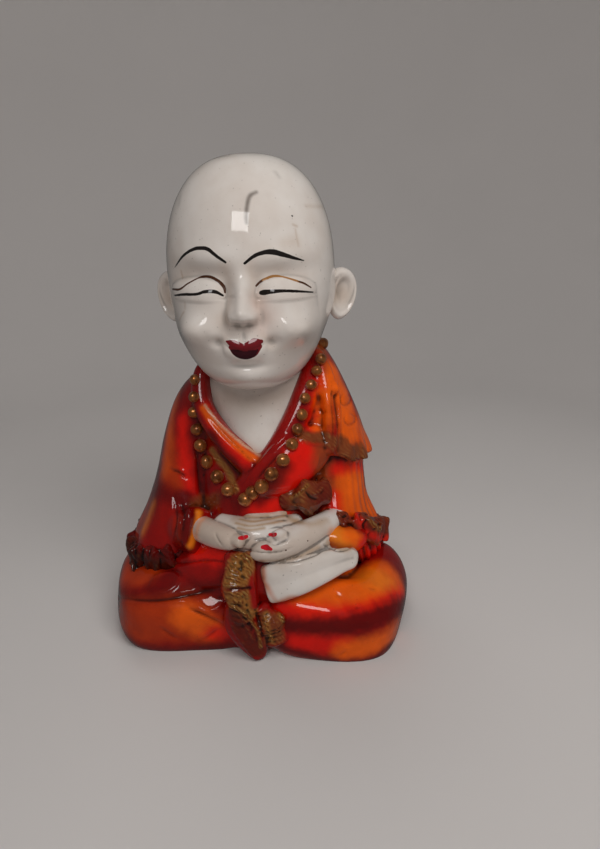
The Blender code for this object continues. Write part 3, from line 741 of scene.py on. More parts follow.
def open_chest(t, turn):
    """Draws the robe in behind the chest above its V, and lays folds on its back."""
    half = np.clip(0.51 - t, 0, 1) * 3.0
    inside = ease(half - np.abs(turn - np.pi / 2 - 0.03), 0.0, 0.25)
    return -5.0 * ease(0.51 - t, 0.0, 0.06) * inside + robe_folds(t, turn)


def sleeve_folds(amount, count, phase):
    """Pleats that deepen towards the hem of a hanging sleeve."""
    def relief(t, turn):
        """A wave round the sleeve, deeper lower down."""
        depth = amount * (0.25 + 0.75 * ease(t, 0.55, 0.95)) * ease(t, 0.2, 0.5)
        return depth * np.cos(count * turn + phase)
    return relief


def scallops(t, turn):
    """Waves along the lower edge of the shawl, with fine pleats above them."""
    waves = ease(t, 0.72, 0.95) * (1.2 + 0.9 * np.cos(12 * turn))
    return waves + 0.25 * ease(t, 0.5, 0.9) * np.cos(40 * turn)


# A hem is its middle, its height, its half width and half depth, and its tip across and forwards
HEMS = (((-35.0, -7.0), 27.5, (17.0, 21.0), (4.0, 0.5)),
        ((31.5, -6.0), 31.0, (14.8, 19.0), (-2.5, 8.0)))
# Half thickness and half height of a hem's roll, and how far in from its reach it runs
HEM_THICK, HEM_TALL, HEM_INSET = 1.9, 4.8, 2.4
# The shawl's lower end, as a station of upright(), and how it leans
SHAWL_END = (25, 2.5, 62, 14.5, 18)
SHAWL_LEAN = 0.42


def hem_shell(middle, height, reach, tilt):
    """Ruffle round the foot of a sleeve: a roll along a tipped oval whose edge waves in and out
    and up and down, with pleats that bunch irregularly."""
    turn = np.linspace(0, 2 * np.pi, 1441)[:-1]
    bunched = turn + 0.10 * np.sin(5 * turn + 1) + 0.05 * np.sin(11 * turn)
    pleat = 1 - 2 * np.abs(np.sin(19 * bunched))
    crinkle = 0.7 * np.sin(9 * turn) + 0.4 * np.sin(14 * turn + 1) + 0.95 * pleat
    loop = np.stack([middle[0] + (reach[0] - HEM_INSET + crinkle) * np.cos(turn),
                     middle[1] - (reach[1] - HEM_INSET + crinkle) * np.sin(turn),
                     height + tilt[0] * np.cos(turn) + tilt[1] * np.sin(turn)
                     + 0.8 * np.sin(7 * turn) + 0.5 * np.sin(19 * bunched)], -1)
    return roll(loop, HEM_THICK, HEM_TALL, 32)


def frill_shell():
    """Gathered edge of the breast fold, above the hands."""
    def gathers(t, turn):
        """Gathers across the frill, with finer ones on them."""
        return np.sin(15 * t + 1.2 * np.sin(turn)) + 0.3 * np.sin(29 * t + 2 * np.sin(turn))
    return bar([(8, -22, 48.5), (14, -23, 50), (20, -21.5, 50.5), (25, -15, 51)],
               wide=[2.5, 5.0, 6.0, 3.8], thick=3.2, around=96, along=160, ends=(0.15, 0.2), relief=gathers)


def build_hems():
    """Ruffled hems of both sleeves and the frill over the hands, gilt on their ridges; painted shade
    darkens them on the statue's right.
    """
    shells = [hem_shell(*hem) for hem in HEMS] + [frill_shell()]
    hems = fused("hems", shells, bpy.context.scene.monk_sizes.trim_grain, 2)
    press(hems, HEM_FOLDS)
    points = points_of(hems)
    brown, metal = colour_of("hem_brown")
    # Painted shade: the hems darken, and lose leaf, on the statue's right side.
    side_shade = 0.7 * ease(-points[:, 0], -4, 6)
    red = 0.5 * ease(ripple(points, 24.0, 6.0), 0.2, 0.9)
    ground = brown + red[:, None] * (colour_of("dark_red")[0] - brown)
    return paint_cloth(hems, ground * (1 - side_shade[:, None]), HEM_PAINT, 0.85, metal * (1 - side_shade))


def robe_shells():
    """Robe round the trunk, collar bands, fold over the breast, waist, sleeves with the lining
    of the left one, and the shawl over the left shoulder with its peak by the chin."""
    trunk = upright([(0, 4, 97, 13, 11), (0, 4, 90, 19, 13), (0, 4, 80, 24, 15), (0, 3.5, 70, 27, 18),
                     (0, 3.5, 60, 28, 21), (0, 3, 48, 29, 25.5), (0, 4, 34, 33, 28), (0, 7, 16, 39, 32),
                     (0, 7.5, 1, 40.5, 32.8)], 160, 140, ends=(0.1, 0.03), relief=open_chest)
    collar_left = bar([(-19.5, -1, 93), (-19.5, -8, 81), (-13, -14.0, 71), (-3, -17.8, 61.5), (6, -18.5, 54)],
                      wide=[3.0, 3.6, 4.0, 4.6, 5.0], thick=3.6)
    collar_right = bar([(21, 4, 96.5), (18, -6, 86), (13.5, -12.5, 75), (6.5, -17.6, 63.5),
                        (-4, -20, 52), (-9, -19, 47)], wide=[3.4, 4.4, 4.6, 4.8, 4.6, 3.0], thick=4.2)
    breast_fold = bar([(-2, -19.5, 52), (8, -20.5, 58), (17, -16.0, 64.5), (25, -9.5, 69)],
                      wide=[5.5, 8.0, 8.5, 5], thick=[5, 5.2, 5.2, 4])
    waist = upright([(1, -4, 60, 14, 14), (1, -4, 54, 20, 19), (1, -5, 46, 23, 21), (1, -6, 38, 24, 22)])
    sleeve_right = upright([(-16, 4, 90, 7, 8), (-20, 4, 79, 11.5, 12), (-24, 3, 66, 12.5, 15),
                            (-27, 1, 52, 13.0, 18), (-29.5, -3, 41, 14.0, 20.5),
                            (-33.5, -6, 30, 15, 20.5), (-36, -7, 19, 14, 17)],
                           relief=sleeve_folds(0.5, 8, 1.0))
    sleeve_left = upright([(17, 4, 92, 7, 8), (21, 4, 80, 10.5, 12), (24, 3, 66, 12.0, 14),
                           (25.5, 1, 52, 12.0, 16), (27, -2, 41, 12.0, 19.5),
                           (30.5, -4, 30, 13.0, 18), (33, -5, 19, 13.0, 16)],
                          around=200, relief=sleeve_folds(1.1, 26, 0.4))
    cuff = bar([(-33, -10, 33), (-26, -19, 36), (-19.5, -25.5, 38.5)], wide=[9, 9, 8.5],
               thick=[8, 8, 7.5], ends=(0.2, 0.08))
    shawl = upright([(20.5, 4, 98.5, 2.5, 5), (21, 4, 92, 7, 9.5), (22, 3.5, 82, 11.5, 13.5),
                     (24, 3, 72, 13.5, 16.5), SHAWL_END],
                    around=240, ends=(0.08, 0.05), relief=scallops, lean=SHAWL_LEAN)
    ridge = bar([(22, -2, 93), (24.5, -10, 82), (25.5, -14, 72), (25, -16, 63)],
                wide=[1.4, 2.0, 2.4, 2.8], thick=2.2)
    lining = bar([(16, -22, 36), (23, -24, 36.5), (30, -25, 35.5), (38, -20, 34)], wide=5,
                 thick=[4.5, 5.4, 5.2, 4], ends=(0.2, 0.2))
    peak = bar([(20.5, -3, 98), (22.5, -5, 91), (24.5, -9, 82)], wide=[1.6, 3.4, 4.4], thick=[2, 2.6, 3])
    return [trunk, collar_left, collar_right, breast_fold, waist, sleeve_right, sleeve_left, cuff,
            shawl, ridge, lining, peak]


# Folds: height, half width, and pixels
ROBE_FOLDS = (
    (-0.55, 0.55, ring(346, 399.5, 5.2, 5.6, 0, -60, 240)),
    (-0.55, 0.55, ring(350.5, 419, 5.6, 5.6, 0, -90, 210)),
    (-0.5, 0.5, ((319, 409), (323, 413), (326, 411))),
    (0.7, 0.8, ((205, 407), (222, 425), (243, 443), (259, 455))),
    (-0.7, 0.7, ((210, 418), (226, 436), (246, 455), (254, 466))),
    (0.9, 0.9, ((285, 437), (272, 450), (261, 463), (246, 481))),
    (-0.9, 0.8, ((280, 452), (268, 465), (256, 480))),
    (0.8, 0.6, ((336, 380), (338, 400), (339, 420), (338, 446))),
    (-0.9, 0.7, ((332, 383), (333, 405), (334, 425), (333, 445))),
    (-0.8, 0.6, ((172, 470), (180, 473), (187, 478))),
    (0.5, 0.6, ((171, 467), (179, 469), (186, 474))),
    (-0.8, 0.8, ((196, 440), (198, 465), (200, 492))),
    (-0.9, 0.8, ((180, 500), (184, 520), (181, 545))),
    (0.9, 1.0, ((190, 508), (188, 525), (184, 545))),
    (-0.8, 0.7, ((174, 495), (176, 515), (173, 540))),
    (0.7, 0.5, ((302, 438.8), (314, 444.4), (326, 444.4), (333, 448.6))),
    (0.7, 0.5, ((344, 454), (355, 460), (372, 461))),
    (0.6, 0.5, ((292, 497.7), (300, 492), (307.7, 485))),
    (0.5, 0.5, ((319, 455.6), (317, 463), (314.7, 470))),
)

# Folds: height, half width, and pixels
HEM_FOLDS = (
    (0.6, 0.5, ((292, 497.7), (300, 492), (307.7, 485))),
    (0.6, 0.5, ((289, 505), (303, 506), (309, 511), (315, 517), (323, 514))),
    (-0.7, 0.6, ((306, 492), (312, 498), (318, 500))),
    (0.6, 0.5, ((312, 494), (319, 491), (323, 486))),
    (0.6, 0.5, ((339, 512), (341, 522), (348, 528), (356, 529))),
    (0.6, 0.5, ((349, 511), (350, 521))),
    (0.6, 0.5, ((355, 511), (357, 519))),
    (0.7, 0.6, ((369, 519), (374, 525), (381, 529))),
)
# Strokes: paint, radius, softness, strength, and pixels
HEM_PAINT = (
    # Painted shade: dark red over the hem on the statue's right.
    ("dark_red", 3.0, 2.0, 0.8, ((136, 534), (146, 543), (160, 550), (178, 553), (190, 550))),
    ("bronze", 1.6, 1.4, 0.9, ((292, 499), (302, 494), (308, 489))),
    ("gold", 0.5, 0.6, 0.9, ((292, 498), (300, 493), (308, 485))),
    ("bronze", 1.4, 1.2, 0.8, ((296, 503), (306, 506), (315, 513), (323, 511))),
    ("gold", 0.4, 0.6, 0.8, ((309, 516), (315, 517.5), (323, 513))),
    ("bright_red", 1.0, 1.2, 0.7, ((352, 512), (358, 518), (362, 524))),
    ("bright_red", 0.9, 1.2, 0.7, ((364, 532), (376, 537), (388, 539))),
    ("gold", 0.5, 0.8, 0.7, ((370, 519), (375, 526), (381, 530))),
    ("orange", 1.4, 1.4, 0.7, ((364, 508), (372, 514))),
)

# Strokes: paint, radius, softness, strength, and pixels
ROBE_PAINT = (
    ("dark_red", 4.0, 4.0, 0.9, ((186, 375), (176, 392), (166, 415), (160, 445), (156, 480), (155, 500))),
    # The darker orange strokes on the statue's right sleeve are part darker paint, part painted shade.
    ("burnt", 1.6, 2.6, 0.95, ((168, 385), (170, 405), (170, 430), (171, 448), (173, 468), (176, 484))),
    ("bright_red", 2.2, 2.4, 0.85, ((184, 420), (186, 445), (189, 470), (193, 488))),
    ("dark_red", 2.0, 2.4, 0.9, ((196, 410), (196, 440), (199, 465), (204, 490))),
    ("crimson", 3.0, 3.0, 0.8, ((166, 500), (168, 520), (170, 545))),
    ("dark_red", 2.4, 2.4, 0.95, ((186, 500), (187, 520), (184, 548))),
    ("dark_red", 2.0, 2.4, 0.85, ((157, 492), (170, 496), (184, 500))),
    ("amber", 1.0, 2.4, 0.6, ((152, 506), (148, 518), (143, 530))),
    ("bright_red", 1.6, 2.0, 0.8, ((205, 407), (220, 430), (236, 450), (252, 466))),
    ("orange", 0.9, 0.9, 0.95, ((204, 408), (215, 424), (231, 441), (248, 455), (260, 460))),
    ("cream", 0.25, 0.4, 0.85, ((205, 405), (214, 417), (222, 426), (243, 444), (260, 455.6))),
    ("dark_red", 1.4, 1.4, 0.9, ((212, 436), (224, 458), (238, 476), (244, 484))),
    ("crimson", 2.4, 2.0, 0.9, ((287, 436), (266, 458), (246, 482))),
    ("bright_red", 2.6, 2.6, 0.9, ((316, 365), (318, 385), (318, 405), (312, 425))),
    ("russet", 2.0, 2.0, 0.9, ((321, 346), (325, 358), (330, 370), (338, 380))),
    ("bronze", 0.8, 1.0, 0.8, ((320.8, 347), (326, 356))),
    ("crimson", 2.0, 1.6, 0.8, ((314, 358), (306, 378), (302, 398), (297, 424), (288, 440))),
    ("orange", 4.6, 2.6, 0.95, ((334, 375), (342, 395), (348, 415), (350, 432))),
    ("orange", 4.5, 2.6, 0.95, ((354, 380), (361, 405), (365, 432))),
    ("orange", 2.6, 2.0, 0.8, ((324, 398), (324, 415), (322, 426))),
    ("orange", 6.0, 3.0, 0.9, ((348, 380), (357, 402), (362, 422), (366, 440))),
    ("orange", 5.0, 2.6, 0.85, ((364, 468), (367, 486), (372, 506))),
    ("orange", 1.8, 2.6, 0.55, ((176, 398), (170, 420), (167, 445), (164, 470))),
    ("bright_red", 4.6, 2.6, 0.95, ((302, 455), (303, 468), (294, 486), (276, 502), (262, 508))),
    ("dark_red", 1.8, 2.0, 0.8, ((285, 468), (272, 486), (260, 500))),
    ("russet", 3.0, 2.4, 0.85, ((322, 455), (324, 470), (326, 484))),
    ("orange", 4.5, 2.6, 0.9, ((360, 468), (362, 486), (367, 506))),
    ("orange", 3.6, 2.4, 0.95, ((352, 472), (354, 490), (356, 505), (360, 520))),
    ("orange", 2.0, 2.0, 0.8, ((342, 478), (342, 496), (345, 508))),
    ("bright_red", 1.6, 2.0, 0.85, ((336, 470), (350, 466), (364, 466))),
    ("bright_red", 1.6, 1.8, 0.8, ((334, 496), (336, 508))),
    ("bronze", 1.9, 1.0, 0.95, ((302, 434), (312, 438), (322, 438), (333, 442))),
    ("bronze", 2.4, 1.2, 0.95, ((341, 444), (350, 450), (360, 452), (370, 456))),
    ("gold", 0.8, 0.8, 0.9, ((212, 450), (220, 461), (228, 471), (236, 490))),
    ("bronze", 2.2, 1.4, 0.8, ((198, 504), (208, 503), (216, 500))),
    ("amber", 0.9, 0.9, 0.95, ((199, 513), (197, 525), (194, 536), (190, 545))),
    ("amber", 3.0, 2.2, 0.95, ((331, 528), (338, 535), (346, 541))),
    ("russet", 1.0, 1.6, 0.7, ((330, 545), (338, 548), (348, 549))),
    ("orange", 1.8, 1.8, 0.9, ((350, 534), (357, 540), (362, 548))),
    ("bright_red", 2.6, 1.8, 0.95, ((364, 544), (372, 550), (380, 548))),
)


def cloth_ground(piece, seed):
    """Airbrushed ground of the robe: orange and reds in upright bands that wander round the figure,
    with dark red where the bands run low."""
    points = points_of(piece)
    turn = np.arctan2(points[:, 0], -points[:, 1])
    wander = 1.4 * ripple(points, 60, seed)
    band = 0.45 * np.sin(4.0 * turn + wander) + 0.8 * ripple(points * (1, 1, 0.5), 44, seed)
    red, orange, dark = (colour_of(name)[0] for name in ("crimson", "burnt", "dark_red"))
    ground = red + ease(band, 0.15, 1.1)[:, None] * 0.8 * (orange - red)
    return ground + ease(-band, 0.15, 1.1)[:, None] * 0.7 * (dark - ground)


def shawl_edge(points):
    """Share of bronze along the shawl's lower edge, on the left side and behind."""
    x, y, z = points.T
    middle_x, middle_y, height, half_wide, half_deep = SHAWL_END
    edge = height - SHAWL_LEAN * (x - middle_x) + 1.2 * ripple(points, 9.0, 3.0)
    outwards = np.hypot((x - middle_x) / half_wide, (y - middle_y) / half_deep)
    beside = ease(x, 26, 30) * ease(outwards, 0.86, 0.94)
    return beside * ease(z, edge - 2, edge) * (1 - ease(z, edge + 5.5, edge + 7.5))


def paint_cloth(piece, ground, strokes, hollow_shade, gilt=None, carved=()):
    """Finishes a piece of cloth: strokes over its ground, folds carved under the leaf to a depth
    and a size, and painted shade in its hollows."""
    colours, leaf = lay_paint(piece, ground, strokes, gilt)
    if carved:
        carve(piece, leaf, *carved)
    finish_paint(piece, colours, leaf, hollow_shade)
    piece.data.materials.append(cloth_material())
    return piece


def build_robe():
    """The robe with sleeves, collar and shawl as one skin, folded and painted."""
    robe = fused("robe", robe_shells(), bpy.context.scene.monk_sizes.grain, 5)
    press(robe, ROBE_FOLDS)
    points = points_of(robe)
    ground = cloth_ground(robe, 3.0)
    brown, metal = colour_of("bronze")
    band = shawl_edge(points)
    ground += band[:, None] * (brown - ground)
    return paint_cloth(robe, ground, ROBE_PAINT, 0.8, band * metal, (0.45, 9.0))


# Prayer beads

# Pixels of the beads in sight, down the right side and up the left
BEADS_IN_SIGHT = (
    (194.7, 379.8), (193.8, 396.7), (193.8, 412.1), (196.8, 429.6), (200.3, 445.8), (206.7, 461.9),
    (216.8, 476.4), (228.4, 489.3), (245.5, 499.5), (252.5, 493), (261.4, 486.5), (271.2, 473.8),
    (283.1, 459.8), (292.2, 444.4), (297.6, 429.6), (302, 414.6), (304.9, 398), (311.5, 384.7),
    (317, 371), (321, 359),
)


def beads_behind():
    """Places of the beads round the back of the neck, evenly along a smooth line."""
    return spline([(-21.5, 3, 92), (-19, 11, 95), (-10, 17, 95.3), (0, 18.5, 95), (10, 17, 95.3),
                   (18, 11, 96), (21.5, 4, 97.5)], np.linspace(0, 1, 16))


def bead_shell(middle, radius, seed):
    """A bead: a ball dented like hand-made work."""
    fall = np.linspace(0, np.pi, 19)[:, None]
    turn = np.linspace(0, 2 * np.pi, 28, endpoint=False)[None, :]
    unit = np.stack([np.sin(fall) * np.cos(turn), np.sin(fall) * np.sin(turn), np.cos(fall) + 0 * turn], -1)
    dent = 1 + 0.035 * np.sin(3 * turn + seed) * np.sin(fall) + 0.03 * np.cos(2 * fall + seed)
    return shell(middle + unit * (radius * dent)[..., None])


def build_beads(cloth):
    """Prayer beads on the cloth: those in sight by their pixels, the rest round the neck."""
    sizes = bpy.context.scene.monk_sizes
    tree = surface_of(cloth)
    place, _, _, _ = camera_axes()
    spots = []
    for pixel in BEADS_IN_SIGHT:
        found = on_surface(tree, (pixel,))
        if len(found):
            spots.append((found[0], (place - found[0]) / np.linalg.norm(place - found[0])))
    for middle in beads_behind():
        out = middle - np.array([0, 5, middle[2] - 3])
        out /= np.linalg.norm(out)
        spot = tree.ray_cast(middle + 12 * out, -out)[0]
        if spot is not None:
            spots.append((np.array(spot), out))
    shells, leaves = [], []
    for number, (spot, out) in enumerate(spots):
        share = float(ease(spot[2], 50, 88))
        radius = (sizes.bead_large + (sizes.bead_small - sizes.bead_large) * share) / 2 / millimetre()
        part = bead_shell(spot + out * radius * 0.45, radius, number * 1.3)
        shells.append(part)
        leaves.append(np.full(len(part[0]), number, float))
    beads = piece_from("beads", *joined(shells))
    points, normals = points_of(beads), normals_of(beads)
    number = np.concatenate(leaves)
    gold, bronze, red = (colour_of(name)[0] for name in ("bead_gold", "bronze", "dark_red"))
    # Painted shade: each bead turns dark red on its side away from the front and above.
    face = normals @ np.array([0.1, -0.85, 0.45])
    worn = ripple(points, 3.2, 4.0) + 0.7 * np.sin(number * 2.4)
    colours = gold + ease(worn, 0.0, 1.2)[:, None] * 0.7 * (bronze - gold)
    colours += (1 - ease(face, -0.15, 0.45))[:, None] * 0.8 * (red - colours)
    store_colour(beads, "paint", colours)
    store_value(beads, "leaf", ease(face, -0.1, 0.5) * 0.8)
    beads.data.materials.append(bead_material())
    return beads


# Hands and foot

# Brush lines: paint, half widths from start to end in millimetres, and pixels
NAILS = (
    ("nail", (0.70, 0.88, 0.62), ((240.0, 537.8), (243.0, 537.4), (246.5, 536.6))),
    ("nail", (0.55, 0.72, 0.60), ((270.0, 534.6), (273, 534.8), (275.5, 534.4))),
    ("nail", (0.65, 0.95, 0.50), ((262.5, 547), (266.5, 547.4), (271, 549.4))),
    ("nail", (0.60, 0.78, 0.55), ((240.5, 555.2), (244, 556.8), (248, 558.2))),
    ("umber", (0.28, 0.28), ((286, 550.2),)),
    ("umber", (0.26, 0.26), ((307.8, 540.8),)),
)
# Strokes: paint, radius, softness, strength, and pixels
HAND_MARKS = (
    # Painted shade: the shade strokes darken the forearm, the foot under the hands and the gaps along the
    # fingers; the thin brown strokes between the fingers and under the frill are painted shade too.
    ("shade", 4.0, 3.0, 0.75, ((202, 527), (214, 531), (228, 538), (240, 546))),
    ("shade", 3.0, 3.0, 0.55, ((256, 552), (276, 556), (300, 546), (322, 532))),
    ("blush", 0.3, 1.0, 0.5, ((236, 515), (252, 516), (266, 514), (284, 513))),
    ("shade", 1.5, 1.6, 0.8, ((236, 519), (252, 520), (266, 519), (282, 518))),
    ("stain", 0.25, 0.6, 0.8, ((236, 523), (250, 526), (266, 524), (283, 521))),
    ("stain", 0.25, 0.6, 0.8, ((240, 519), (252, 521.5), (266, 519.5), (284, 516))),
    ("stain", 0.25, 0.6, 0.75, ((238, 528), (250, 530), (264, 528))),
    ("stain", 0.20, 0.6, 0.7, ((244, 516), (256, 517.5), (268, 516))),
    ("stain", 0.8, 1.6, 0.7, ((286, 514), (292, 520), (300, 522))),
    ("shade", 0.4, 1.2, 0.5, ((248, 541), (258, 543), (268, 540), (283, 536), (289, 529))),
    ("stain", 0.5, 1.6, 0.5, ((296, 522), (312, 524), (326, 520))),
    ("amber", 0.3, 1.6, 0.5, ((196, 536), (199, 524), (204, 518))),
    ("amber", 0.6, 1.6, 0.5, ((331, 531), (337, 534))),
)
# Folds: height, half width, and pixels
HAND_FOLDS = (
    (0.5, 0.6, ((333, 532), (324, 542), (312, 551), (298, 557))),
    (-0.6, 0.6, ((336, 541), (326, 548), (312, 556), (296, 561), (280, 563))),
    (-0.6, 0.5, ((322, 544), (332, 549), (342, 551), (351, 548))),
    (-0.5, 0.5, ((330, 541), (340, 545), (350, 545))),
    (-0.35, 0.5, ((252, 540), (262, 539), (268, 541), (275, 545), (286, 540))),
    (-0.35, 0.5, ((240, 549), (252, 551), (266, 553), (280, 552), (292, 548))),
    (-0.3, 0.5, ((268, 529), (278, 527), (287, 531), (288, 538), (283, 543))),
    (-0.3, 0.5, ((237, 531), (246, 533), (250, 538), (246, 543))),
    (-0.3, 0.5, ((215, 533), (218, 540), (222, 546))),
)
# Strokes: paint, radius, softness, strength, and pixels
FOOT_MARKS = (
    ("blush", 0.6, 1.1, 0.9, ((263, 568), (264, 586), (267, 599), (273, 604), (288, 599), (302, 596))),
    ("amber", 0.6, 1.6, 0.9, ((304, 602), (312, 594), (324, 586), (338, 581), (350, 576), (362, 568))),
    # Painted shade: the brown strokes lie in the creases of the small toes and along the foot's top edge
    # under the hands.
    ("stain", 0.5, 1.1, 0.7, ((328, 543), (336, 547), (344, 550), (352, 547))),
    ("stain", 0.4, 1.0, 0.6, ((262, 561), (270, 561), (284, 560), (300, 556), (318, 547))),
    ("bronze", 0.5, 1.1, 0.7, ((262, 562), (261.5, 570), (262, 577))),
)


def hand_shells():
    """Hands laid one on the other in the lap: forearms, a mass of palm between them, finger tips
    in front and a row of thin curled fingers behind."""
    forms = [
        bar([(-30, -8, 36), (-23, -19, 37.5), (-16, -27, 39), (-9, -33, 40.2), (-4, -36, 40.8)],
            wide=[4.4, 4.4, 4.6, 3.9, 2.6], thick=[4.5, 4.6, 4.6, 4, 2.8], ends=(0.1, 0.16)),
        bar([(32, -7, 41), (28, -17, 41), (22, -26, 41), (14, -32.5, 39.8), (6, -36, 38), (-1, -37.4, 36.6)],
            wide=[3.4, 3.3, 4.2, 5.0, 4.2, 2.4], thick=[4, 4, 4.6, 5, 4, 2.4], ends=(0.1, 0.12)),
        bar([(-15, -23, 38), (0, -29.5, 39.5), (17, -25, 39)], wide=6, thick=6.5)]
    tips = [
        [(-9, -33, 41), (-4.5, -36.6, 41.4), (-2.6, -37.4, 41.2)],
        [(14, -31, 43), (9, -35.4, 43), (7.2, -36.4, 42.6)],
        [(13, -34, 39.8), (7, -37.8, 40.0), (5, -38.5, 39.6)]]
    fingers_behind = 4
    curled = [[(-7 + 0.9 * i, -31.5 + 1.9 * i, 41.8 + 0.75 * i), (-1, -33.2 + 1.9 * i, 42.9 + 0.85 * i),
               (5, -32.6 + 1.9 * i, 42.6 + 0.95 * i), (11, -31.8 + 1.9 * i, 43.6 + 0.9 * i)]
              for i in range(fingers_behind)]
    return (forms + [bar(path, 2.1, 2.1, along=40, ends=(0.3, 0.3)) for path in tips]
            + [bar(path, 1.15, 1.3, along=40, ends=(0.2, 0.2)) for path in curled])


def flat_sole(t, turn):
    """Squares the foot's section, so that its sole lies flat."""
    return -0.7 * np.cos(4 * turn)


def foot_shells():
    """Right foot laid on the left shin: a flat sole cut square at the sash, its big toe out to
    the side, and a fold of skin up to the hands."""
    sole = bar([(3.9, -37.0, 25.5), (9, -38, 27.5), (16, -38, 30), (23, -35.5, 31.6), (29, -32, 32),
                (34.5, -29.2, 31.6)], wide=[6.9, 7.0, 6.4, 5.4, 4.2, 3.4], thick=[4, 4.4, 4.4, 4.2, 3.6, 3.0],
               facing=(-0.02, -0.93, 0.36), around=96, ends=(0.05, 0.14), relief=flat_sole)
    bridge = bar([(6, -33, 34), (16, -33, 35.5), (25, -28, 36)], wide=4, thick=4)
    toe = bar([(28, -31, 31.5), (34.8, -28.8, 32.2)], wide=3.1, thick=3.1, along=30, ends=(0.4, 0.4))
    small_toes = [bar([(26 - i, -28 + 2.4 * i, 35), (30 - 1.2 * i, -26 + 2.4 * i, 35.2)], wide=1.4, thick=1.6,
                      along=30, ends=(0.4, 0.4)) for i in range(3)]
    return [sole, bridge, toe] + small_toes


def build_hands():
    """Both hands and the bare foot as one skin, with red nails, painted shade in brown where the skin turns
    in towards the cloth, away from the front and above, and robe paint run over its border."""
    hands = fused("hands_and_foot", hand_shells() + foot_shells(), bpy.context.scene.monk_sizes.fine_grain, 4)
    press(hands, HAND_FOLDS)
    # Painted shade: brown where the skin faces away from the front and above.
    shade_turned_away = 0.55 * ease(0.45 - normals_of(hands) @ np.array([0.1, -0.9, 0.42]), 0, 0.5)
    ground = skin_ground(hands)
    ground += shade_turned_away[:, None] * (colour_of("stain")[0] - ground)
    return paint_skin(hands, ground, HAND_MARKS + FOOT_MARKS, 0.6, NAILS)


# Lap and sash

# Folds: height, half width, and pixels
LAP_FOLDS = (
    (-1.1, 1.0, ((118, 598), (145, 600), (165, 599), (190, 594), (226, 588))),
    (0.5, 0.5, ((174, 594.6), (186, 592), (198, 590.5))),
    (0.5, 0.5, ((171, 602), (184, 600.7))),
    (0.6, 0.7, ((150, 587), (156, 577), (168, 573), (177, 577), (175, 586), (163, 592), (152, 590))),
    (0.7, 0.7, ((195.7, 597.7), (199, 605), (208, 610), (217, 608), (222.5, 602))),
    (0.7, 0.7, ((186.5, 602), (205, 611), (225, 620.6))),
    (-0.7, 0.7, ((190, 609), (207, 617), (224, 626))),
    (-0.6, 0.7, ((160.5, 628), (168, 634), (176, 639))),
    (-0.6, 0.7, ((202, 640.5), (210, 636), (217, 630))),
    (-0.7, 0.7, ((145, 561), (175, 563), (205, 560), (237, 562.5))),
    (-0.4, 0.6, ((369, 587), (373, 589), (377, 589))),
    (-0.4, 0.6, ((336, 593), (341, 598))),
    (-0.5, 0.6, ((340, 657), (343, 654), (346, 651))),
    (-0.4, 0.6, ((355, 607), (361, 609))),
)
SASH_FOLDS = (
    (1.0, 0.5, ((230, 606), (240, 610), (250, 619), (258, 632), (261, 647))),
    (-0.8, 0.6, ((229, 589), (240, 589), (252, 588))),
    (0.5, 0.4, ((238, 612), (246, 626), (254, 642))),
    (0.6, 0.4, ((264, 615), (267, 628), (272, 640))),
    (0.5, 0.4, ((272, 618), (276, 626), (277, 632))),
    (0.5, 0.4, ((281, 614), (284, 622))),
    (0.5, 0.5, ((252, 580), (254, 592), (256, 606))),
    (-0.6, 0.5, ((255, 610), (259, 622), (262, 636))),
)

# Strokes: paint, radius, softness, strength, and pixels
LAP_PAINT = (
    # The darker orange strokes on the statue's right of the lap are part darker paint, part painted shade.
    ("burnt", 4.0, 3.0, 0.9, ((124, 574), (134, 576), (148, 574))),
    ("crimson", 5.0, 3.0, 0.95, ((190, 568), (210, 575), (232, 580))),
    ("bright_red", 2.6, 2.4, 0.95, ((198, 553), (212, 553), (232, 556))),
    ("deep_red", 2.2, 3.0, 0.95, ((117, 597), (150, 599), (180, 594), (226, 586))),
    ("deep_red", 3.0, 1.8, 0.7, ((155, 585), (163, 582), (171, 578))),
    ("burnt", 6.5, 3.5, 0.95, ((122, 622), (150, 624), (176, 620), (196, 620))),
    ("orange", 4.0, 3.0, 0.8, ((186, 618), (198, 624), (208, 632))),
    ("bright_red", 2.6, 2.6, 0.85, ((214, 634), (226, 634), (238, 640))),
    ("dark_red", 1.8, 3.0, 0.85, ((122, 634), (138, 647), (156, 653), (202, 648), (240, 644))),
    ("orange", 9.0, 3.5, 0.95, ((320, 596), (345, 588), (375, 582), (390, 588))),
    ("amber", 3.5, 3.0, 0.6, ((366, 575), (380, 580), (392, 590))),
    ("bright_red", 3.4, 2.6, 0.95, ((268, 612), (300, 616), (336, 618), (372, 612), (402, 598))),
    ("deep_red", 3.1, 2.2, 0.98, ((265, 617), (289, 627), (324, 628), (360, 623), (395, 611), (407, 605))),
    ("bright_red", 2.4, 2.4, 0.8, ((296, 643), (320, 645), (345, 644))),
    ("orange", 3.2, 3.0, 0.95, ((346, 652), (366, 648), (386, 640), (398, 630))),
    ("dark_red", 1.2, 1.6, 0.9, ((283, 648.5), (312, 657), (336, 665), (354, 667), (371, 661), (395, 642))),
)
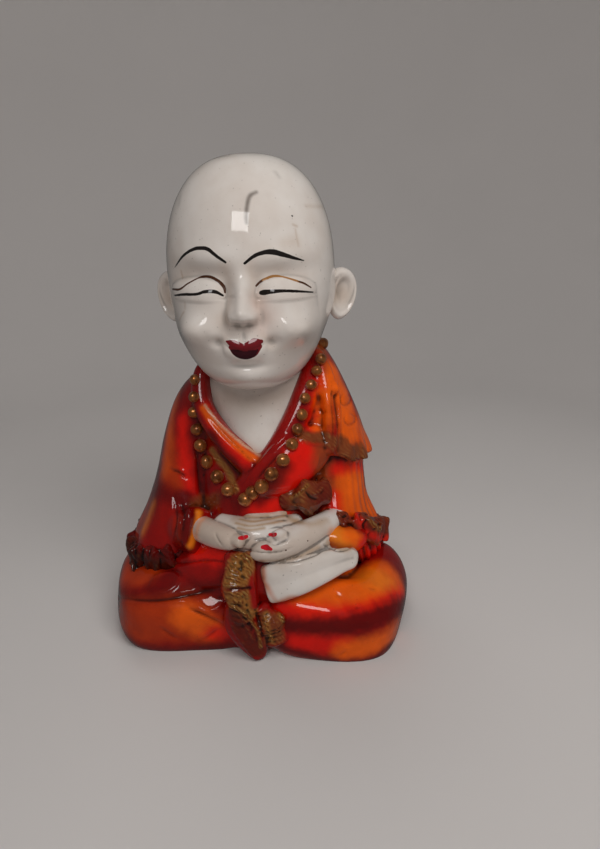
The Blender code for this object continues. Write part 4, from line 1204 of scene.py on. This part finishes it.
SASH_PAINT = (
    ("gold", 3.6, 1.2, 0.95, ((242, 564), (234, 578), (236, 598), (244, 612))),
    ("gold", 2.4, 1.2, 0.95, ((246, 568), (244, 580), (234, 600))),
    ("dark_red", 0.7, 0.9, 0.9, ((228, 590), (240, 589), (251, 586))),
    ("crimson", 0.9, 0.8, 0.98, ((252, 578), (253, 590), (255, 606))),
    ("umber_leaf", 2.6, 1.2, 0.95, ((234, 612), (242, 628), (252, 644), (258, 651))),
    ("gold", 0.45, 0.4, 0.95, ((230, 606), (240, 610), (250, 619), (258, 632), (261, 647))),
    ("bronze", 3.2, 1.2, 0.95, ((268, 622), (276, 626), (272, 636))),
    ("gold", 0.8, 0.7, 0.9, ((266, 614), (267, 628), (271, 640))),
    ("gold", 0.6, 0.7, 0.8, ((280, 614), (284, 622))),
)


def lap_folds(t, turn):
    """Creases of the cloth that fan out over the shins."""
    return 0.5 * np.cos(6 * turn + 5 * t) * ease(t, 0.1, 0.5)


def lap_shells():
    """Crossed legs under the robe, thigh and shin on each side over a low base."""
    forms = [upright([(0, -3, 21, 38, 30), (0, -3, 12, 46, 36), (0, -3, 2, 47, 36), (0, -3, -8, 46, 35)],
                     ends=(0.3, 0.1)),
             upright([(0, -20, 39, 14, 11), (0, -19, 33, 24, 16), (0, -17, 25, 34, 22), (0, -16, 16, 36, 22)],
                     ends=(0.2, 0.1))]
    for side, front, wider in ((-1, 0.0, 1.4), (1, 3.5, -0.6)):
        knee = 43.5 + wider
        thigh = [(side * 12, 12, 9), (side * 30, 5, 9), (side * 42, -6, 9)]
        shin = [(side * 40, 4, 9), (side * knee, -12, 8.5), (side * (36 + wider), -28 - front, 8),
                (side * 18, -29.5 - front, 9), (side * -4, -28, 10)]
        forms.append(bar(thigh, wide=[17, 17, 12], thick=[17, 16.5, 15], facing=(0, 0, 1), around=96,
                         ends=(0.2, 0.3)))
        forms.append(bar(shin, wide=[10, 11, 13.5, 12.0, 10], thick=[14.5, 15.5, 15.5, 16.0, 15],
                         facing=(0, 0, 1), around=96, ends=(0.2, 0.2), relief=lap_folds))
    return forms


def build_lap():
    """The crossed legs as one skin, standing on its flat underside."""
    lap = fused("lap", lap_shells(), bpy.context.scene.monk_sizes.grain, 5)
    cut_level(lap)
    press(lap, LAP_FOLDS)
    points = points_of(lap)
    points[:, 2] = np.maximum(points[:, 2], 0)
    move_points(lap, points)
    return paint_cloth(lap, cloth_ground(lap, 8.0), LAP_PAINT, 0.8, carved=(0.6, 4.0))


def sash_shells():
    """End of the sash between the knees: ribbon, red strip, leaf-shaped flap and wing."""
    def hatched(t, turn):
        """Broad steps along a strip, with fine slanting lines on its front."""
        front = np.clip(np.sin(turn), 0, 1)
        return 0.7 * np.cos(13 * t) + 0.20 * np.cos(70 * t + 3 * np.cos(turn)) * front

    def veined(t, turn):
        """A middle vein on the front of the leaf, and fine slanting ones beside it."""
        front = np.clip(np.sin(turn), 0, 1)
        side_veins = 0.06 * np.cos(60 * t + 5 * np.abs(np.cos(turn)))
        return front * (0.5 * bump(np.cos(turn) - 0.35, 0.12) + side_veins)

    ribbon = bar([(-5.5, -34, 36), (-5.8, -39.5, 30), (-5.0, -42, 22), (-3, -42.5, 14)],
                 wide=[4.2, 4.4, 4.4, 4.0], thick=3.0, around=96, along=140, relief=hatched)
    leaf = bar([(-6.5, -40, 22), (-4.0, -42, 14), (-1.0, -43, 7.5), (2.0, -43.5, 0)],
               wide=[3.5, 6.4, 5.6, 2.2], thick=[3, 3.2, 2.8, 2.0], around=96, along=140, relief=veined)
    wing = bar([(1.5, -40.5, 20), (5, -42, 13.5), (8.5, -42, 6)], wide=[2.6, 5.4, 4.0], thick=3.0,
               around=96, along=120, relief=hatched)
    strip = bar([(-1.8, -35, 37), (-1.4, -38.5, 29), (-0.6, -40.5, 20), (0.6, -40.5, 12)], wide=2.6,
                thick=3.4)
    return [ribbon, leaf, wing, strip]


def build_sash():
    """The sash as one skin, gilt on its ridges."""
    sash = fused("sash", sash_shells(), bpy.context.scene.monk_sizes.trim_grain, 2)
    cut_level(sash)
    press(sash, SASH_FOLDS)
    red = np.tile(colour_of("crimson")[0], (len(sash.data.vertices), 1))
    return paint_cloth(sash, red, SASH_PAINT, 0.85, carved=(0.15, 4.5))


# Materials

# Tints of the finish: mottling, specks, the dark between engraved lines, and bright leaf
MOTTLING = (0.62, 0.50, 0.42, 1)
SPECK = (0.06, 0.03, 0.02, 1)
BETWEEN_LINES = (0.5, 0.28, 0.2, 1)
BRIGHT_LEAF = (0.66, 0.36, 0.11, 1)

# Colour of the backdrop's paper and of its darker places
PAPER = (0.66, 0.635, 0.625, 1)
PAPER_DARKER = (0.5, 0.49, 0.48, 1)


def add(tree, kind, inputs, **settings):
    """A shader node with its settings, and its inputs as plain values or linked sockets."""
    made = tree.nodes.new("ShaderNode" + kind)
    for name, value in settings.items():
        setattr(made, name, value)
    for name, value in inputs.items():
        if isinstance(value, bpy.types.NodeSocket):
            tree.links.new(value, made.inputs[name])
        else:
            made.inputs[name].default_value = value
    return made


def reckoned(tree, how, *values):
    """Result of a sum on values and sockets."""
    return add(tree, "Math", dict(enumerate(values)), operation=how).outputs[0]


def mix(tree, factor, first, second, how="MIX"):
    """The second colour over the first by a factor."""
    made = add(tree, "Mix", {0: factor, 6: first, 7: second}, data_type="RGBA", blend_type=how)
    return made.outputs[2]


def noise(tree, place, size, detail=2.0):
    """Value of a noise whose grain is about size metres."""
    return add(tree, "TexNoise", {"Vector": place, "Scale": 1 / size, "Detail": detail}).outputs["Fac"]


def between(tree, value, low, high, start=0.0, end=1.0):
    """The value carried smoothly from low and high to start and end."""
    inputs = {"Value": value, "From Min": low, "From Max": high, "To Min": start, "To Max": end}
    return add(tree, "MapRange", inputs, interpolation_type="SMOOTHSTEP").outputs["Result"]


def engraving(tree, place, gap):
    """Value of flowing lines that lie about gap metres apart."""
    inputs = {"Vector": place, "Scale": np.pi / 10 / gap, "Distortion": 9.0, "Detail": 1.5,
              "Detail Scale": 0.8}
    return add(tree, "TexWave", inputs, bands_direction="DIAGONAL").outputs["Fac"]


def group(name, takes, gives):
    """An empty node group with its sockets, or None where it is already made."""
    if name in bpy.data.node_groups:
        return None
    tree = bpy.data.node_groups.new(name, "ShaderNodeTree")
    for label, kind in takes:
        tree.interface.new_socket(label, in_out="INPUT", socket_type="NodeSocket" + kind)
    for label, kind in gives:
        tree.interface.new_socket(label, in_out="OUTPUT", socket_type="NodeSocket" + kind)
    return tree, tree.nodes.new("NodeGroupInput").outputs, tree.nodes.new("NodeGroupOutput").inputs


def placed(tree, name, inputs):
    """A node group placed in a material, as its outputs."""
    return add(tree, "Group", inputs, node_tree=bpy.data.node_groups[name]).outputs


def lacquer_group():
    """Thick lacquer: broad sags and fine orange peel as one height."""
    made = group("Lacquer", (("Place", "Vector"), ("Peel", "Float")), (("Height", "Float"),))
    if made:
        tree, takes, gives = made
        sag = noise(tree, takes["Place"], 0.006, 1.0)
        peel = reckoned(tree, "MULTIPLY", noise(tree, takes["Place"], 0.0012, 2.0), takes["Peel"])
        tree.links.new(reckoned(tree, "ADD", sag, peel), gives["Height"])


def handling_group():
    """Handled paint: slight mottling of its colour, dark specks, and dull places in the gloss."""
    made = group("Handling", (("Place", "Vector"), ("Colour", "Color"), ("Mottle", "Float"),
                              ("Specks", "Float")), (("Colour", "Color"), ("Roughness", "Float")))
    if made:
        tree, takes, gives = made
        cloud = between(tree, noise(tree, takes["Place"], 0.005, 4.0), 0.35, 0.7)
        depth = reckoned(tree, "MULTIPLY", cloud, takes["Mottle"])
        toned = mix(tree, depth, takes["Colour"], MOTTLING, "MULTIPLY")
        speck = between(tree, noise(tree, takes["Place"], 0.0009, 1.0), 0.735, 0.77)
        some = reckoned(tree, "MULTIPLY", speck, takes["Specks"])
        tree.links.new(mix(tree, some, toned, SPECK), gives["Colour"])
        dull = between(tree, noise(tree, takes["Place"], 0.009, 3.0), 0.4, 0.7, 0.28, 0.42)
        tree.links.new(dull, gives["Roughness"])


def brocade_group():
    """Leaf rubbed over engraved cloth: bright lines, with dark paint left between them."""
    made = group("Brocade", (("Place", "Vector"), ("Colour", "Color"), ("Leaf", "Float")),
                 (("Colour", "Color"), ("Metallic", "Float"), ("Height", "Float")))
    if made:
        tree, takes, gives = made
        cord = between(tree, engraving(tree, takes["Place"], 0.0011), 0.25, 0.8)
        rubbed = between(tree, noise(tree, takes["Place"], 0.0034, 3.0), 0.36, 0.64)
        bright = reckoned(tree, "MULTIPLY", cord, rubbed)
        leaf = reckoned(tree, "MULTIPLY", bright, takes["Leaf"])
        gap = reckoned(tree, "SUBTRACT", 1.0, cord)
        shut = reckoned(tree, "MULTIPLY", gap, takes["Leaf"])
        dark = mix(tree, shut, takes["Colour"], BETWEEN_LINES, "MULTIPLY")
        tree.links.new(mix(tree, leaf, dark, BRIGHT_LEAF), gives["Colour"])
        tree.links.new(leaf, gives["Metallic"])
        tree.links.new(reckoned(tree, "MULTIPLY", cord, takes["Leaf"]), gives["Height"])


def lacquered(name):
    """A material with its shader under clear lacquer, as material, tree, shader and place."""
    lacquer_group()
    handling_group()
    material = bpy.data.materials.new(name)
    material.use_nodes = True
    tree = material.node_tree
    shader = tree.nodes["Principled BSDF"]
    shader.inputs["Specular IOR Level"].default_value = 0.08
    shader.inputs["Coat Weight"].default_value = 1.0
    shader.inputs["Coat Roughness"].default_value = 0.05
    shader.inputs["Coat IOR"].default_value = 1.5
    return material, tree, shader, add(tree, "TexCoord", {}).outputs["Object"]


def attribute(tree, name, kind):
    """One of the piece's own attributes, as a colour or a value."""
    return add(tree, "Attribute", {}, attribute_name=name).outputs[kind]


def raised(tree, shader, height, strength, depth):
    """Lets the surface stand out by a height, depth metres at the most."""
    relief = add(tree, "Bump", {"Height": height, "Strength": strength, "Distance": depth})
    tree.links.new(relief.outputs["Normal"], shader.inputs["Normal"])


def skin_material():
    """White doll's skin with brush lines, thinly lacquered."""
    if "painted skin" in bpy.data.materials:
        return bpy.data.materials["painted skin"]
    material, tree, shader, place = lacquered("painted skin")
    paint = attribute(tree, "paint", "Color")
    shaky = reckoned(tree, "MULTIPLY", noise(tree, place, 0.0011, 2.0), 0.16)
    edge = reckoned(tree, "ADD", attribute(tree, "edge", "Fac"), shaky)
    line = between(tree, edge, 0.04, 0.14, 1.0, 0.0)
    colour = mix(tree, line, paint, attribute(tree, "line", "Color"))
    handled = placed(tree, "Handling", {"Place": place, "Colour": colour, "Mottle": 0.10, "Specks": 0.35})
    tree.links.new(handled["Colour"], shader.inputs["Base Color"])
    tree.links.new(handled["Roughness"], shader.inputs["Roughness"])
    height = placed(tree, "Lacquer", {"Place": place, "Peel": 0.08})["Height"]
    raised(tree, shader, height, 0.35, 0.0002)
    return material


def cloth_material():
    """Airbrushed robe with brocade hems under thick lacquer."""
    if "painted robe" in bpy.data.materials:
        return bpy.data.materials["painted robe"]
    brocade_group()
    material, tree, shader, place = lacquered("painted robe")
    handled = placed(tree, "Handling", {"Place": place, "Colour": attribute(tree, "paint", "Color"),
                                        "Mottle": 0.30, "Specks": 0.25})
    brocade = placed(tree, "Brocade", {"Place": place, "Colour": handled["Colour"],
                                       "Leaf": attribute(tree, "leaf", "Fac")})
    tree.links.new(brocade["Colour"], shader.inputs["Base Color"])
    tree.links.new(brocade["Metallic"], shader.inputs["Metallic"])
    tree.links.new(handled["Roughness"], shader.inputs["Roughness"])
    height = placed(tree, "Lacquer", {"Place": place, "Peel": 0.16})["Height"]
    raised(tree, shader, reckoned(tree, "MULTIPLY_ADD", brocade["Height"], 0.6, height), 0.8, 0.0006)
    return material


def bead_material():
    """Beads brushed with bronze, with lacquer over them."""
    material, tree, shader, place = lacquered("bronzed beads")
    handled = placed(tree, "Handling", {"Place": place, "Colour": attribute(tree, "paint", "Color"),
                                        "Mottle": 0.5, "Specks": 0.6})
    tree.links.new(handled["Colour"], shader.inputs["Base Color"])
    tree.links.new(handled["Roughness"], shader.inputs["Roughness"])
    tree.links.new(attribute(tree, "leaf", "Fac"), shader.inputs["Metallic"])
    height = placed(tree, "Lacquer", {"Place": place, "Peel": 0.5})["Height"]
    raised(tree, shader, height, 0.5, 0.0003)
    return material


def paper_material():
    """Matt paper of the backdrop, with a faint unevenness."""
    material = bpy.data.materials.new("backdrop paper")
    material.use_nodes = True
    tree = material.node_tree
    shader = tree.nodes["Principled BSDF"]
    place = add(tree, "TexCoord", {}).outputs["Object"]
    uneven = between(tree, noise(tree, place, 0.12, 2.0), 0.3, 0.7, 0.0, 0.08)
    tree.links.new(mix(tree, uneven, PAPER, PAPER_DARKER), shader.inputs["Base Color"])
    shader.inputs["Roughness"].default_value = 0.8
    return material


# Stage

# A lamp is its place, its width and height in metres, its colour, and whether the lacquer mirrors it
LAMPS = {
    "window": ((-0.050, -0.42, 0.46), (0.19, 0.13), (1.0, 0.99, 0.98), True),
    "key": ((0.16, -0.21, 0.37), (0.22, 0.22), (1.0, 0.98, 0.95), False),
    "back": ((-0.14, 0.30, 0.60), (0.3, 0.3), (1.0, 0.98, 0.95), False),
}
# Place that the lamps face
LIT_PLACE = (0, 0, 0.08)
FILL_COLOUR = (1, 0.99, 0.97, 1)
# Height of the camera's picture plane, in millimetres
FILM_HEIGHT = 36


def build_backdrop(flat_to, bend, tall):
    """Pale floor that bends up into a wall on every side: a straight run, a quarter circle and
    a straight rise, turned round the statue."""
    fall = np.linspace(0, np.pi / 2, 25)
    run = np.concatenate([flat_to + bend * np.sin(fall), [flat_to + bend]])[:, None]
    rise = np.concatenate([bend * (1 - np.cos(fall)), [tall]])[:, None]
    turn = np.linspace(0, 2 * np.pi, 128, endpoint=False)
    rings = np.stack([run * np.cos(turn), run * np.sin(turn), rise + LOWEST.z + 0 * turn], -1)
    points = np.concatenate([[(0, 0, LOWEST.z)], rings.reshape(-1, 3)])
    index = 1 + np.arange(len(points) - 1).reshape(rings.shape[:2])
    ahead = np.roll(index, -1, 1)
    quads = np.stack([index[:-1], index[1:], ahead[1:], ahead[:-1]], -1).reshape(-1, 4)
    fan = np.stack([0 * index[0], index[0], ahead[0]], -1)
    mesh = bpy.data.meshes.new("backdrop")
    mesh.from_pydata(points.tolist(), [], quads.tolist() + fan.tolist())
    mesh.shade_smooth()
    backdrop = bpy.data.objects.new("backdrop", mesh)
    bpy.context.scene.collection.objects.link(backdrop)
    backdrop.visible_glossy = False
    mesh.materials.append(paper_material())
    return backdrop


def area_light(name, power):
    """One of the lamps, hidden from the camera; one that isn't mirrored gives no highlight."""
    place, size, colour, mirrored = LAMPS[name]
    light = bpy.data.lights.new(name, "AREA")
    light.shape = "RECTANGLE"
    light.size, light.size_y = size
    light.energy = power
    light.color = colour
    lamp = bpy.data.objects.new(name, light)
    lamp.location = place
    lamp.visible_glossy = mirrored
    lamp.visible_camera = False
    lamp.rotation_euler = (Vector(LIT_PLACE) - Vector(place)).to_track_quat("-Z", "Y").to_euler()
    bpy.context.scene.collection.objects.link(lamp)


def build_camera():
    """The photograph's camera, with its focal length in proportion to its picture plane."""
    place, right, up, ahead = camera_axes()
    camera = bpy.data.cameras.new("camera")
    camera.sensor_fit = "VERTICAL"
    camera.sensor_height = FILM_HEIGHT
    camera.lens = FILM_HEIGHT * FOCAL / PICTURE[1]
    camera.clip_start = 0.005
    holder = bpy.data.objects.new("camera", camera)
    turned = Matrix((right, up, -ahead)).transposed().to_4x4()
    holder.matrix_world = Matrix.Translation(Vector((place + NECK) * millimetre())) @ turned
    bpy.context.scene.collection.objects.link(holder)
    bpy.context.scene.camera = holder


def seat(piece):
    """Fastens a finished piece to the statue's body, in place of the plain casting."""
    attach(piece, BODY)
    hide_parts(NODE)


# Settings

def paint_colour(name, description, colour):
    """A colour setting."""
    return FloatVectorProperty(name=name, description=description, default=colour, subtype="COLOR",
                               size=3, min=0, max=1)


class MonkSizes(PropertyGroup):
    """Sizes of the statue and of its beads"""
    height: FloatProperty(name="Height", description="From the underside to the crown",
                          default=HIGHEST.z - LOWEST.z, unit="LENGTH")
    bead_large: FloatProperty(name="Large bead", description="Width of the beads on the chest",
                              default=0.0050, unit="LENGTH")
    bead_small: FloatProperty(name="Small bead", description="Width of the beads at the neck",
                              default=0.0038, unit="LENGTH")
    grain: FloatProperty(name="Cloth grain", description="Cell of the cloth's skin, in figure millimetres",
                         default=0.63, min=0.3)
    trim_grain: FloatProperty(name="Trim grain", description="Cell of hems and sash, in figure millimetres",
                              default=0.4, min=0.2)
    fine_grain: FloatProperty(name="Skin grain", description="Cell of the hands' skin, in figure millimetres",
                              default=0.36, min=0.2)


class MonkPaint(PropertyGroup):
    """Paints of the statue"""
    skin: paint_colour("Skin", "White of the skin", (0.72, 0.672, 0.632))
    # Painted shade of the skin: the shade strokes lay it in the face's hollows, under the chin, on the
    # forearm and about the hands and foot; skin_ground also mixes it into broad patches.
    shade: paint_colour("Skin shade", "Yellowed skin in its hollows", (0.52, 0.40, 0.32))
    blush: paint_colour("Blush", "Robe paint bled on to the skin", (0.60, 0.22, 0.12))
    grime: paint_colour("Grime", "Grey dirt on the head", (0.20, 0.17, 0.15))
    # Brown of real stains on the head, and painted shade between the fingers, in the toe creases and where
    # hands and foot turn away.
    stain: paint_colour("Stain", "Brown dirt", (0.38, 0.22, 0.10))
    ink: paint_colour("Ink", "Brows and lashes", (0.012, 0.009, 0.008))
    umber: paint_colour("Umber", "Dark part of the eye creases", (0.07, 0.025, 0.012))
    ochre: paint_colour("Ochre", "Light part of the eye crease", (0.35, 0.17, 0.06))
    crimson_lip: paint_colour("Upper lip", "Upper lip", (0.17, 0.009, 0.014))
    maroon_lip: paint_colour("Lower lip", "Lower lip", (0.032, 0.003, 0.006))
    nail: paint_colour("Nails", "Finger nails", (0.60, 0.010, 0.022))
    cream: paint_colour("Cream", "Bare edge of the collar", (0.70, 0.50, 0.34))
    orange: paint_colour("Orange", "Orange of the robe", (0.90, 0.128, 0.004))
    # Darker orange, which on the statue's right side is partly painted shade.
    burnt: paint_colour("Burnt orange", "Darker orange of the right side", (0.44, 0.036, 0.003))
    amber: paint_colour("Amber", "Golden orange", (0.84, 0.22, 0.012))
    bright_red: paint_colour("Bright red", "Bright red of the robe", (0.80, 0.008, 0.002))
    crimson: paint_colour("Crimson", "Deep red of the robe", (0.29, 0.003, 0.002))
    dark_red: paint_colour("Dark red", "Furrows of the robe", (0.13, 0.001, 0.001))
    deep_red: paint_colour("Darkest red", "Bands over the lap", (0.125, 0.001, 0.001))
    russet: paint_colour("Russet", "Brown orange", (0.34, 0.055, 0.012))
    gold: paint_colour("Gold", "Gold of the sash", (0.32, 0.13, 0.026))
    bronze: paint_colour("Bronze", "Brown gold of the hems", (0.20, 0.045, 0.012))
    hem_brown: paint_colour("Hem", "Brown maroon of the sleeve hems", (0.17, 0.022, 0.008))
    bead_gold: paint_colour("Bead gold", "Gold of the beads", (0.62, 0.23, 0.060))
    umber_leaf: paint_colour("Sash flap", "Leaf-shaped end of the sash", (0.11, 0.010, 0.004))


class MonkStage(PropertyGroup):
    """Camera and lights"""
    distance: FloatProperty(name="Camera distance", description="From the neck's line, level",
                            default=0.2093, unit="LENGTH")
    eye_height: FloatProperty(name="Camera height", description="Above the shelf",
                              default=0.1443, unit="LENGTH")
    turn: FloatProperty(name="Turn", description="How far to the statue's left the camera stands",
                        default=radians(7.5), unit="ROTATION")
    aim: FloatProperty(name="Aim", description="How far the camera looks aside from the neck",
                       default=radians(3.9), unit="ROTATION")
    dip: FloatProperty(name="Dip", description="How far the camera looks down",
                       default=radians(20), unit="ROTATION")
    roll: FloatProperty(name="Roll", description="How far the camera is tipped",
                        default=radians(-1.4), unit="ROTATION")
    window: FloatProperty(name="Window", description="Power of the light that the lacquer mirrors, in watts",
                          default=0.52)
    key: FloatProperty(name="Key", description="Power of the soft light from the side, in watts",
                       default=0.72)
    back: FloatProperty(name="Back", description="Power of the soft light from behind, in watts",
                        default=0.52)
    fill: FloatProperty(name="Fill", description="Brightness of the surrounding light", default=0.08)


# Operators

def built(builder):
    """Runs a builder and fastens what it makes."""
    made = builder()
    for piece in made if isinstance(made, list) else [made]:
        seat(piece)
    return {"FINISHED"}


class MONK_OT_head(Operator):
    """Builds the bald head with its painted face"""
    bl_idname = "monk.head"
    bl_label = "Head"

    def execute(self, context):
        return built(build_head)


class MONK_OT_ears(Operator):
    """Builds both ears"""
    bl_idname = "monk.ears"
    bl_label = "Ears"

    def execute(self, context):
        return built(lambda: [build_ear("ear_right", -1), build_ear("ear_left", 1)])


class MONK_OT_neck(Operator):
    """Builds the neck and the bare chest"""
    bl_idname = "monk.neck"
    bl_label = "Neck"

    def execute(self, context):
        return built(build_neck)


class MONK_OT_robe(Operator):
    """Builds the robe with its sleeves, collar and shawl"""
    bl_idname = "monk.robe"
    bl_label = "Robe"

    def execute(self, context):
        return built(build_robe)


class MONK_OT_beads(Operator):
    """Lays the prayer beads on the robe"""
    bl_idname = "monk.beads"
    bl_label = "Prayer beads"

    def execute(self, context):
        robe = bpy.data.objects.get("robe")
        if robe is None:
            raise RuntimeError("The beads lie on the robe, so the robe is built first.")
        return built(lambda: build_beads(robe))


class MONK_OT_hands(Operator):
    """Builds the hands, the forearms and the bare foot"""
    bl_idname = "monk.hands"
    bl_label = "Hands and foot"

    def execute(self, context):
        return built(build_hands)


class MONK_OT_lap(Operator):
    """Builds the crossed legs under the robe"""
    bl_idname = "monk.lap"
    bl_label = "Lap"

    def execute(self, context):
        return built(build_lap)


class MONK_OT_hems(Operator):
    """Builds the hems of the sleeves and the frill over the hands"""
    bl_idname = "monk.hems"
    bl_label = "Hems and frill"

    def execute(self, context):
        return built(build_hems)


class MONK_OT_sash(Operator):
    """Builds the end of the sash between the knees"""
    bl_idname = "monk.sash"
    bl_label = "Sash"

    def execute(self, context):
        return built(build_sash)


class MONK_OT_stage(Operator):
    """Sets up the floor, the lights and the camera"""
    bl_idname = "monk.stage"
    bl_label = "Stage"

    def execute(self, context):
        stage = context.scene.monk_stage
        build_backdrop(flat_to=0.30, bend=0.28, tall=1.2)
        for name in LAMPS:
            area_light(name, getattr(stage, name))
        world = bpy.data.worlds.new("fill")
        world.use_nodes = True
        sky = world.node_tree.nodes["Background"].inputs
        sky["Color"].default_value = FILL_COLOUR
        sky["Strength"].default_value = stage.fill
        context.scene.world = world
        context.scene.view_settings.view_transform = "Standard"
        build_camera()
        return {"FINISHED"}


OPERATORS = (MONK_OT_head, MONK_OT_ears, MONK_OT_neck, MONK_OT_robe, MONK_OT_hems,
             MONK_OT_beads, MONK_OT_hands, MONK_OT_lap, MONK_OT_sash, MONK_OT_stage)


class MONK_PT_build(Panel):
    """Lists the settings and the steps in order"""
    bl_label = "Baby Monk Statue"
    bl_space_type = "VIEW_3D"
    bl_region_type = "UI"
    bl_category = "Monk"

    def draw(self, context):
        for settings in ("monk_sizes", "monk_paint", "monk_stage"):
            box = self.layout.box()
            owner = getattr(context.scene, settings)
            for name in owner.__annotations__:
                box.prop(owner, name)
        for step in OPERATORS:
            self.layout.operator(step.bl_idname)


CLASSES = (MonkSizes, MonkPaint, MonkStage) + OPERATORS + (MONK_PT_build,)


def register():
    """Registers the classes and hangs the settings on the scene."""
    for item in CLASSES:
        bpy.utils.register_class(item)
    bpy.types.Scene.monk_sizes = PointerProperty(type=MonkSizes)
    bpy.types.Scene.monk_paint = PointerProperty(type=MonkPaint)
    bpy.types.Scene.monk_stage = PointerProperty(type=MonkStage)


def unregister():
    """Takes the settings and the classes away again."""
    del bpy.types.Scene.monk_stage, bpy.types.Scene.monk_paint, bpy.types.Scene.monk_sizes
    for item in reversed(CLASSES):
        bpy.utils.unregister_class(item)


def main():
    """Builds every piece in order."""
    register()
    for step in OPERATORS:
        family, name = step.bl_idname.split(".")
        getattr(getattr(bpy.ops, family), name)()


if __name__ == "__main__":
    main()
